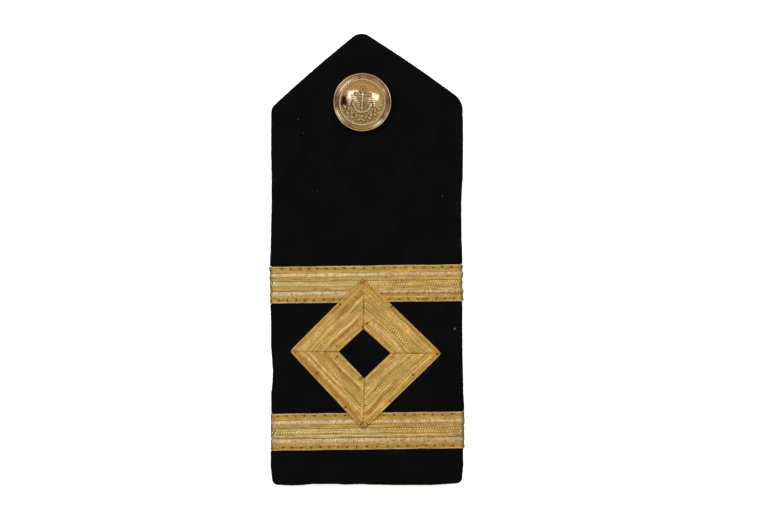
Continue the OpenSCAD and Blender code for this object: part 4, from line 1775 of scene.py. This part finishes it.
@dataclass
class Emblem:
    """A plain anchor with a rope, between two sprays of leaves, on the button's field.

    Places and sizes on it are shares of the field's radius, and the anchor stands along y.
    """

    x: np.ndarray
    y: np.ndarray
    leaves: int = 7
    stem_radius: float = 0.76

    def bar(self, cy: float, half_x: float, half_y: float) -> np.ndarray:
        """Distance from the edge of a bar whose middle is on the anchor's axis."""
        dx, dy = np.abs(self.x) - half_x, np.abs(self.y - cy) - half_y
        return np.hypot(np.maximum(dx, 0), np.maximum(dy, 0)) + np.minimum(np.maximum(dx, dy), 0)

    def ring(self, cy: float, radius: float, half: float) -> np.ndarray:
        """Distance from the edge of a ring whose middle is on the anchor's axis."""
        return np.abs(np.hypot(self.x, self.y - cy) - radius) - half

    def anchor(self) -> list[Form]:
        """The anchor, and the rope that winds round it.

        Returns:
            Their forms.
        """
        x, y = self.x, self.y
        forms: list[Form] = [
            (self.bar(-0.01, 0.055, 0.47), 0.055, 1.0),
            (self.bar(0.32, 0.32, 0.045), 0.045, 0.9),
            (self.ring(0.56, 0.095, 0.035), 0.035, 0.9),
            (np.maximum(self.ring(-0.1, 0.38, 0.055), y + 0.16), 0.055, 1.0),
        ]
        for side in (-1.0, 1.0):
            forms.append((np.hypot(x - 0.32 * side, y - 0.32) - 0.07, 0.07, 1.0))
            qx, qy = side * x - 0.38, y + 0.16
            cuts = (-qy - 0.06, qx * 0.965 + qy * 0.26 - 0.11, -qx * 0.82 + qy * 0.57 - 0.07)
            forms.append((np.maximum.reduce(cuts), 0.08, 1.0))
        for cy, radius, side in ((0.26, 0.22, -1.0), (-0.12, 0.16, 1.0), (-0.4, 0.12, -1.0)):
            edge = np.maximum(self.ring(cy, radius, 0.036), -side * x)
            slant = (np.hypot(x, y - cy) - radius) * 60
            strand = np.sin(np.arctan2(y - cy, x) * 136 * radius + slant)
            forms.append((edge, 0.036, 1.05 + 0.2 * strand))
        return forms

    def sprays(self) -> list[Form]:
        """The two sprays of leaves, one on each side of the anchor.

        Returns:
            Their forms.
        """
        forms: list[Form] = []
        for side in (-1.0, 1.0):
            forms += [self.leaf(side, k) for k in range(self.leaves)]
            line = np.abs(np.hypot(self.x, self.y) - self.stem_radius) - 0.014
            ends = np.maximum(self.y + 0.3, -side * self.x)
            forms.append((np.maximum(line, ends), 0.014, 0.5))
        return forms

    def leaf(self, side: float, k: int) -> Form:
        """One leaf of a spray, whose leaves stand outside and inside its stem in turn.

        Args:
            side: -1 for the left spray and 1 for the right one.
            k: The leaf's number from the foot of the spray.

        Returns:
            Its form.
        """
        out = 1.0 if k % 2 == 0 else -1.0
        turn = side * math.radians(8 + 10.5 * k)
        tilt = turn - side * out * math.radians(24)
        far = self.stem_radius + 0.07 * out
        dx, dy = self.x - far * math.sin(turn), self.y + far * math.cos(turn)
        lx = dx * math.cos(tilt) + dy * math.sin(tilt)
        ly = -dx * math.sin(tilt) + dy * math.cos(tilt)
        bow = (0.25 ** 2 + 0.12 ** 2) / (4 * 0.12)
        edge = np.hypot(lx, np.abs(ly) + bow - 0.06) - bow
        veins = 0.3 * np.cos((lx * side + np.abs(ly) * 1.3) * 120)
        return edge, 0.045, 0.8 + 0.2 * (veins + 0.5 * np.exp(-(ly / 0.012) ** 2))


@dataclass(frozen=True)
class Button:
    """The domed gilt button with a plain anchor, a rope ring and a rim, and its screw."""

    gilt: Finish = GiltFinish("polished_gilt", "gilt")
    brass: Finish = BrassFinish("satin_brass", "brass")
    layout: Layout = LAYOUT
    diameter: float = 19.3
    rim_height: float = 2.4
    rim_thickness: float = 0.6
    band_width: float = 1.5
    band_dip: float = 0.25
    rope_thickness: float = 0.7
    rope_strands: int = 54
    # Half the width that is twisted into strands, their height and how far they slant
    rope_half: float = 0.34
    strand_height: float = 0.08
    strand_slant: float = 6.5
    dome_rise: float = 2.25
    relief: float = 0.35
    hammered: float = 0.03
    line_pitch: float = 0.66
    lean: float = math.radians(4.0)
    wall: float = 0.45
    turns: int = 576
    screw_head: tuple[float, float] = (5.0, 0.8)
    screw_radius: float = 1.5
    screw_top: float = 9.05

    @property
    def rim_radius(self) -> float:
        """Radius of the middle of the outer rim."""
        return self.diameter / 2 - self.rim_thickness / 2

    @property
    def band_out(self) -> float:
        """Radius of the band's outer edge, under the rim."""
        return self.rim_radius - self.rim_thickness / 4

    @property
    def band_in(self) -> float:
        """Radius of the band's inner edge, under the rope."""
        return self.band_out - self.band_width

    @property
    def rope_radius(self) -> float:
        """Radius of the middle of the rope ring."""
        return self.band_in - self.rope_thickness / 4

    @property
    def field_radius(self) -> float:
        """Radius of the domed field."""
        return self.rope_radius - self.rope_thickness / 4

    @property
    def ball(self) -> float:
        """Radius of the ball that the dome is a part of."""
        return (self.field_radius ** 2 + self.dome_rise ** 2) / (2 * self.dome_rise)

    @property
    def ball_z(self) -> float:
        """Height of that ball's middle over the button's foot."""
        return self.rim_height + self.dome_rise - self.ball

    def build(self) -> bpy.types.Object:
        """Builds the shell and the screw, and gives the hidden back plate its brass.

        Returns:
            The polished shell.
        """
        self.screw()
        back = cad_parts["button_back"]
        back.data.materials.clear()
        back.data.materials.append(self.brass.material())
        return self.shell()

    def profile(self) -> list[tuple[float, float]]:
        """The shell in section, from the top of the dome out, down and back inside.

        Returns:
            Radius and height of each point.
        """
        field, rim, ball, ball_z = self.field_radius, self.rim_height, self.ball, self.ball_z
        points = [(r, ball_z + math.sqrt(ball ** 2 - r ** 2)) for r in np.linspace(0.0, field - 0.12, 84)]
        rope = rim - self.rope_thickness / 5
        round_rope = self.rope_thickness / 2
        for turn in np.linspace(math.pi * 0.8, -0.18, 16):
            out = self.rope_radius + round_rope * math.cos(turn)
            points.append((out, rope + round_rope * math.sin(turn)))
        points += self.band()
        thick = self.rim_thickness / 2
        for turn in np.linspace(math.pi * 0.87, -math.pi * 0.4, 18):
            points.append((self.rim_radius + thick * math.cos(turn), rim - thick + thick * math.sin(turn)))
        skirt = self.rim_radius
        points += [
            (skirt, rim - 0.66), (skirt, 1.2), (skirt, 0.5), (skirt - 0.03, 0.2),
            (skirt - 0.16, 0.04), (skirt - 0.5, 0.0), (skirt - 1.0, 0.02),
            (skirt - 1.0, self.wall - 0.02), (skirt - self.wall, self.wall),
            (skirt - self.wall, rim - 2 * self.wall),
        ]
        inner = ball - self.wall
        points += [(r, ball_z + math.sqrt(inner ** 2 - r ** 2)) for r in np.linspace(field - 0.5, 0.0, 14)]
        return points

    def band(self) -> list[tuple[float, float]]:
        """The band in section: an arc that dips between the rope and the rim.

        Returns:
            Radius and height of each point.
        """
        half, dip = self.band_width / 2, self.band_dip
        arc = (half ** 2 + dip ** 2) / (2 * dip)
        middle = (self.band_in + self.band_out) / 2
        top = self.rim_height - self.rim_thickness / 6 - dip + arc
        reach = np.linspace(self.rope_radius + 0.36, self.band_out - 0.14, 22)
        return [(r, top - math.sqrt(arc ** 2 - (r - middle) ** 2)) for r in reach]

    def shell(self) -> bpy.types.Object:
        """Presses the shell with its relief.

        Returns:
            The piece.
        """
        layout = self.layout
        mesh = new_mesh(lathe(self.profile(), self.turns), "button_gilt")
        points = read_points(mesh)
        x, y, z = points.T
        r = np.hypot(x, y)
        turn = np.arctan2(y, x)
        field = self.field_radius
        dome = self.ball_z + np.sqrt(np.clip(self.ball ** 2 - r ** 2, 0, None))
        top = (r < field) & (z > dome - 0.05)
        raised, near = self.emblem(x, y)
        points[:, 2] += np.where(top, raised, 0.0)
        on_rope = (np.abs(r - self.rope_radius) < 0.36) & (z > self.rim_height - 0.4)
        from_rope = r - self.rope_radius
        strand = np.sin(self.rope_strands * turn + from_rope * self.strand_slant)
        body = np.clip(1 - (from_rope / self.rope_half) ** 2, 0, 1)
        points[:, 2] += np.where(on_rope, self.strand_height * strand * body, 0.0)
        # Brown rings in the grooves beside the rope and the rim: settled dirt and painted shade
        lines = (
            (0.9 * field, 0.06), (self.rope_radius - 0.38, 0.06), (self.rope_radius + 0.4, 0.07),
            (self.band_out - 0.11, 0.1),
        )
        groove = sum(np.exp(-((r - at) / half) ** 2) for at, half in lines)
        recess = np.where(top, near, 0.0) + groove
        # Bead tops worn paler and gaps browner, which also paints the beads' highlights and shade
        recess -= np.where(on_rope, 1.0 - 2.0 * smooth(0.5, 0.95, -strand), 0.0) * np.sqrt(body)
        # Painted reflections on the band and the rim by direction, on a little even brown
        on_rim = smooth(self.band_out - 0.15, self.band_out + 0.1, r)
        recess += (self.painted_reflection(turn) * (1 - 0.5 * on_rim) + 0.08) * (r > self.band_in + 0.2)
        recess -= 0.8 * np.exp(-((r - self.rim_radius) / 0.13) ** 2) * (z > 1)
        points[:, 2] += layout.lace_z
        points[:, :2] += (layout.button_x, layout.button_y)
        write_points(mesh, points)
        write_numbers(mesh, "recess", "FLOAT", np.clip(recess, -1, 1))
        return add_piece(mesh, self.gilt, ["button_shell"], NO_CREASE)

    @staticmethod
    def painted_reflection(turn: np.ndarray) -> np.ndarray:
        """Painted reflections on the band and the rim: how much darker or paler they are by direction.

        Args:
            turn: Directions from the button's middle, in radians.

        Returns:
            More than 0 where they are painted darker, and less where they are painted paler.
        """
        total = np.zeros_like(turn)
        patches = (
            (85, 30, 0.2), (2, 28, 0.8), (178, 30, 0.85), (270, 40, 0.25), (72, 9, 0.4),
            (96, 5, 0.35), (325, 8, 0.55), (239, 9, 0.4), (145, 16, -0.45), (40, 8, 0.3),
            (205, 12, -0.3), (305, 8, -0.35),
        )
        for at, half, deep in patches:
            away = (np.degrees(turn) - at + 180) % 360 - 180
            total = total + deep * np.exp(-(away / half) ** 2)
        return total

    def emblem(self, x: np.ndarray, y: np.ndarray) -> tuple[np.ndarray, np.ndarray]:
        """The relief on the dome: the emblem on a ground that is lined behind it.

        Args:
            x: Place across the button, from its middle.
            y: Place along the board, from its middle.

        Returns:
            The height of each place over the dome, and how brown or worn it is: dirt and painted shade
            round the forms and in the lined ground, wear on their tops.
        """
        f = self.field_radius
        cos, sin = math.cos(self.lean), math.sin(self.lean)
        px, py = (x * cos - y * sin) / f, (x * sin + y * cos) / f
        raised = np.zeros_like(x)
        away = np.full_like(x, 1.0)
        emblem = Emblem(px, py)
        for edge, half, tall in emblem.anchor() + emblem.sprays():
            inside = np.clip(-edge / half, 0, 1)
            raised = np.maximum(raised, self.relief * tall * np.sqrt(1 - (1 - inside) ** 2))
            away = np.minimum(away, np.abs(edge))
        # Dark lines round the forms: settled dirt and painted shade
        near = 1.15 * np.exp(-(away * f / 0.17) ** 2) * np.where(raised > 0.1, 0.25, 1.0)
        near = near - 0.7 * smooth(0.6, 0.95, raised / self.relief)
        ground = np.clip(1 - raised / 0.05, 0, 1) * np.clip(away * 20, 0, 1)
        lined = ground * (1 - smooth(0.56, 0.66, np.hypot(px, py + 0.05)))
        lines = np.sin(py * (2 * math.pi * f / self.line_pitch) + 0.6 * np.sin(px * 9))
        lines = lines * (0.6 + 0.4 * np.sin(px * 29 + py * 13))
        chased = smooth(0.1, 0.2, raised) * np.sin(px * 74 + py * 31) * np.sin(py * 70 - px * 27)
        raised = raised + self.hammered * lined * lines + self.hammered * chased
        near = near + 0.75 * lined * np.clip(-lines, -0.6, 1) + 0.7 * np.clip(-chased, 0, 1)
        return raised, near

    def screw(self) -> None:
        """The flat-headed screw that comes up from under the strap."""
        head, thick = self.screw_head
        soft = 0.16
        shaft = self.screw_radius
        profile = [
            (0.0, 0.0), (head - 0.5, 0.0), (head - soft, 0.02), (head - 0.05, 0.07),
            (head, soft + 0.02), (head, thick - soft), (head - 0.05, thick - 0.05),
            (head - soft, thick), (shaft + 0.2, thick), (shaft, thick + 0.15),
            (shaft, self.screw_top - 0.2), (shaft - 0.2, self.screw_top), (0.0, self.screw_top),
        ]
        mesh = new_mesh(lathe(profile, 96), "button_screw_brass")
        mesh.transform(Matrix.Translation((self.layout.button_x, self.layout.button_y, 0.0)))
        add_piece(mesh, self.brass, ["button_screw"], 40.0)


@dataclass(frozen=True)
class Strap:
    """The cloth tongue under the board, square at its sewn end and round at the screw."""

    cloth: Finish = ClothFinish(
        "strap_cloth_finish", "strap_cloth", (0.0028, 0.0028, 0.003), (0.005, 0.005, 0.005)
    )
    thread: Finish = ThreadFinish(
        "strap_thread", "strap_cloth", (0.012, 0.012, 0.013), (0.006, 0.006, 0.006)
    )
    layout: Layout = LAYOUT
    soft: float = 0.5
    hem: float = 2.0
    grid: float = 2.2
    hollow: float = 0.06
    stitch_pitch: float = 2.2

    def corners(self, inset: float) -> tuple[Corner, ...]:
        """The corners of the tongue's outline, or of a line that runs inside it.

        Args:
            inset: How far inside the outline the line runs.

        Returns:
            The corners, anticlockwise.
        """
        layout = self.layout
        half = layout.strap_width / 2 - inset
        low = -layout.length / 2 + layout.strap_inset + inset
        high = layout.button_y + layout.strap_past - layout.strap_width / 2
        radius = max(0.9 - inset, 0.3)
        return (
            Corner(layout.button_x - half + radius, low + radius, radius),
            Corner(layout.button_x + half - radius, low + radius, radius),
            Corner(layout.button_x, high, half),
        )

    def build(self) -> None:
        """Builds the tongue and its row of stitches."""
        layout = self.layout
        inset, height = soft_edge(self.soft, layout.strap_thickness, 5)
        outline = belt(self.corners(0.0), 1.0, 24)
        hole = (layout.button_x, layout.button_y, layout.hole_radius)
        shape = slab(outline, inset, height + layout.strap_z, hole, self.grid)
        mesh = new_mesh(shape, "strap_tongue")
        points = read_points(mesh)
        x, y, z = points.T
        low = 1 - smooth(layout.strap_z, layout.strap_z + 0.8, z)
        swell = 0.5 + 0.5 * Waver(41, 8.0)(y) * Waver(42, 5.0)(x)
        points[:, 2] = z + self.hollow * low * swell
        write_points(mesh, points)
        piece = add_piece(mesh, self.cloth, ["strap"])
        size = (layout.strap_width * MM, (points[:, 1].max() - points[:, 1].min()) * MM)
        0.95 * size[0] * size[1]
        self.stitches()

    def stitches(self) -> None:
        """The row of stitches inside the tongue's edge, on its underside."""
        line = belt(self.corners(self.hem), 0.1, 40)
        steps = np.hypot(*np.diff(line[:, :2], axis=0, append=line[:1, :2]).T)
        along = np.concatenate([[0.0], np.cumsum(steps)])
        count = round(along[-1] / self.stitch_pitch)
        arch = ((-0.85, 0.16), (-0.6, 0.0), (0.0, -0.06), (0.6, 0.0), (0.85, 0.16))
        path = [Vector((0.0, y, z)) for y, z in arch]
        stamp = Stamp(tube(path, (0.08, 0.12, 0.13, 0.12, 0.08), 6), "strap_stitches")
        for k in range(count):
            at = np.searchsorted(along, k * along[-1] / count) % len(line)
            x, y, turn = line[at]
            stamp.put(turned_at(x, y, self.layout.strap_z + 0.02, turn))
        add_piece(stamp.finish(), self.thread)


@dataclass(frozen=True)
class Lamp:
    """One soft box: where it stands as seen from the board, its size and its brightness."""

    name: str
    azimuth: float
    from_top: float
    size: tuple[float, float]
    power: float
    colour: Colour = (1.0, 1.0, 1.0)


@dataclass(frozen=True)
class Reflection:
    """A bright or dark patch of the surroundings, placed where a dome seen from above mirrors it.

    Its sides are in millimetres from the middle of the button's dome. Its left and right side
    lean in by the given share of the height above its lower side, and it is turned by an angle in
    degrees.
    """

    left: float
    right: float
    low: float
    high: float
    soft: float
    colour: Colour
    lean: float = 0.0
    turn: float = 0.0


@dataclass(frozen=True)
class Studio:
    """The camera straight above, two soft boxes, pale surroundings and a white table."""

    middle: tuple[float, float] = (5.70, 1.11)
    front_z: float = 6.1
    view_width: float = 255.3
    lens: float = 100.0
    sensor: float = 36.0
    lamp_distance: float = 1.2
    lamps: tuple[Lamp, ...] = (
        Lamp("soft_box_left", 129.3, 42.7, (0.69, 0.32), 9.0),
        Lamp("soft_box_right", 34.9, 41.6, (0.5, 0.26), 5.3),
    )
    floor: Finish = FloorFinish("white_table", "cloth")
    top: Colour = (0.46, 0.42, 0.37)
    towards_point: Colour = (0.47, 0.355, 0.21)
    towards_end: Colour = (0.45, 0.385, 0.265)
    sides: Colour = (0.14, 0.14, 0.14)
    below: Colour = (0.13, 0.13, 0.13)
    low_strips: Colour = (0.9, 0.85, 0.7)
    horizon: Colour = (0.8, 0.72, 0.6)
    dome_radius: float = 13.13
    reflections: tuple[Reflection, ...] = (
        Reflection(3.9, 7.3, -3.9, -1.1, 0.6, (0.64, 0.57, 0.42), 0.0, 20.0),
        Reflection(-7.45, -4.9, -0.6, 2.8, 0.15, (0.01, 0.006, 0.003), 0.2),
        Reflection(-5.1, -1.0, 1.8, 4.2, 0.3, (1.45, 1.55, 2.3), 0.22, 7.0),
        Reflection(2.4, 5.45, 1.25, 3.2, 0.28, (1.85, 1.95, 2.75), 0.12, -15.0),
    )

    def build(self) -> None:
        """Sets up the camera, the surroundings and the table."""
        self.camera()
        self.surroundings()
        self.table()
        bpy.context.scene.view_settings.view_transform = "Standard"

    def light_up(self, mirrors: Sequence[bpy.types.Object]) -> None:
        """Sets up the lamps, which light all but the polished pieces.

        Args:
            mirrors: The pieces that mirror the soft boxes of the surroundings instead.
        """
        spared = bpy.data.collections.new("polished")
        for piece in mirrors:
            spared.objects.link(piece)
        for held in spared.collection_objects:
            held.light_linking.link_state = "EXCLUDE"
        for lamp in self.lamps:
            self.light(lamp).light_linking.receiver_collection = spared

    def camera(self) -> None:
        """The camera, looking straight down with the point of the board up."""
        lens = bpy.data.cameras.new("camera")
        lens.lens = self.lens
        lens.sensor_width = self.sensor
        lens.clip_start = 0.01
        lens.clip_end = 20.0
        camera = show("camera", lens)
        away = self.view_width * self.lens / self.sensor
        camera.location = Vector((*self.middle, self.front_z + away)) * MM
        bpy.context.scene.camera = camera

    def light(self, lamp: Lamp) -> bpy.types.Object:
        """Hangs one soft box, turned towards the board with its long side across it.

        Args:
            lamp: The soft box.

        Returns:
            The light.
        """
        data = bpy.data.lights.new(lamp.name, "AREA")
        data.shape = "RECTANGLE"
        data.size, data.size_y = lamp.size
        data.energy = lamp.power
        data.color = lamp.colour
        light = show(lamp.name, data)
        azimuth, from_top = math.radians(lamp.azimuth), math.radians(lamp.from_top)
        out = math.sin(from_top)
        way = Vector((out * math.cos(azimuth), out * math.sin(azimuth), math.cos(from_top)))
        across = (Vector((1.0, 0.0, 0.0)) - way * way.x).normalized()
        light.location = way * self.lamp_distance
        light.rotation_euler = Matrix((across, way.cross(across), way)).transposed().to_euler()
        light.visible_camera = False
        return light

    def surroundings(self) -> None:
        """Pale surroundings, warmer beyond the board's point and lighter beyond its square end.

        The steps below lie between two values of x, y or z of the direction that is looked in.
        """
        world = bpy.data.worlds.new("studio")
        tree = Tree(world)
        x, y, z = tree.split(tree.add("ShaderNodeTexCoord").outputs["Generated"])
        colour = tree.mix(y.rise(-0.1, 0.5), self.top, self.towards_point)
        colour = tree.mix((0.0 - y).rise(0.1, 0.6), colour, self.towards_end)
        colour = tree.mix(1.0 - z.rise(0.06, 0.22), colour, self.horizon)
        colour = tree.mix(abs(x).rise(0.86, 0.97), colour, self.sides)
        strip = (1.0 - abs(abs(x) - 0.62).rise(0.06, 0.16)) * (0.0 - y).rise(0.5, 0.6)
        colour = tree.mix(strip * (1.0 - abs(z - 0.26).rise(0.08, 0.16)), colour, self.low_strips)
        colour = tree.mix((0.0 - z).rise(-0.03, 0.05), colour, self.below)
        spread = self.dome_radius / tree.math("SQRT", z * 2.0 + 2.0001)
        for patch in self.reflections:
            across, up = self.turned(x * spread, y * spread, patch)
            inset = tree.math("MAXIMUM", up - patch.low, 0.0) * patch.lean
            near = inset + patch.soft
            inside = (across - inset).rise(patch.left - patch.soft, patch.left + patch.soft)
            inside = inside * (1.0 - (across + near).rise(patch.right, patch.right + 2 * patch.soft))
            inside = inside * up.rise(patch.low - patch.soft, patch.low + patch.soft)
            inside = inside * (1.0 - up.rise(patch.high - patch.soft, patch.high + patch.soft))
            colour = tree.mix(inside, colour, patch.colour)
        background = tree.add("ShaderNodeBackground", None, {"Color": colour, "Strength": 1.0})
        tree.add("ShaderNodeOutputWorld", None, {"Surface": background.outputs[0]})
        bpy.context.scene.world = world

    @staticmethod
    def turned(x: Value, y: Value, patch: Reflection) -> tuple[Value, Value]:
        """A place on the dome, in the directions of a turned patch.

        Args:
            x: The place to the right of the dome's middle.
            y: The place above it.
            patch: The patch.

        Returns:
            The same place, turned back about the middle of the patch.
        """
        cos, sin = math.cos(math.radians(patch.turn)), math.sin(math.radians(patch.turn))
        middle_x, middle_y = (patch.left + patch.right) / 2, (patch.low + patch.high) / 2
        off_x, off_y = x - middle_x, y - middle_y
        return off_x * cos + off_y * sin + middle_x, off_y * cos - off_x * sin + middle_y

    def table(self) -> None:
        """The white table that the board lies on."""
        bm = bmesh.new()
        bmesh.ops.create_grid(bm, x_segments=2, y_segments=2, size=4.0)
        table = show("table", new_mesh(bm, "table"))
        table.data.materials.append(self.floor.material())
        table.visible_diffuse = False
        table.visible_glossy = False


def main() -> None:
    """Builds the scene in order."""
    logging.basicConfig(level=logging.INFO, format="%(name)s: %(message)s")
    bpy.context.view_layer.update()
    studio = Studio()
    studio.build()
    Board().build()
    Stripe(
        "upper_stripe", "upper_lace", LAYOUT.upper_lace_y, 100, UPPER_FINISH, UPPER_ROWS,
        UPPER_STROKES, UPPER_BULGES,
    ).build()
    Stripe(
        "lower_stripe", "lower_lace", LAYOUT.lower_lace_y, 200, LOWER_FINISH, LOWER_ROWS,
        LOWER_STROKES, LOWER_BULGES,
    ).build()
    Diamond().build()
    studio.light_up([Button().build()])
    Strap().build()


if __name__ == "__main__":
    main()
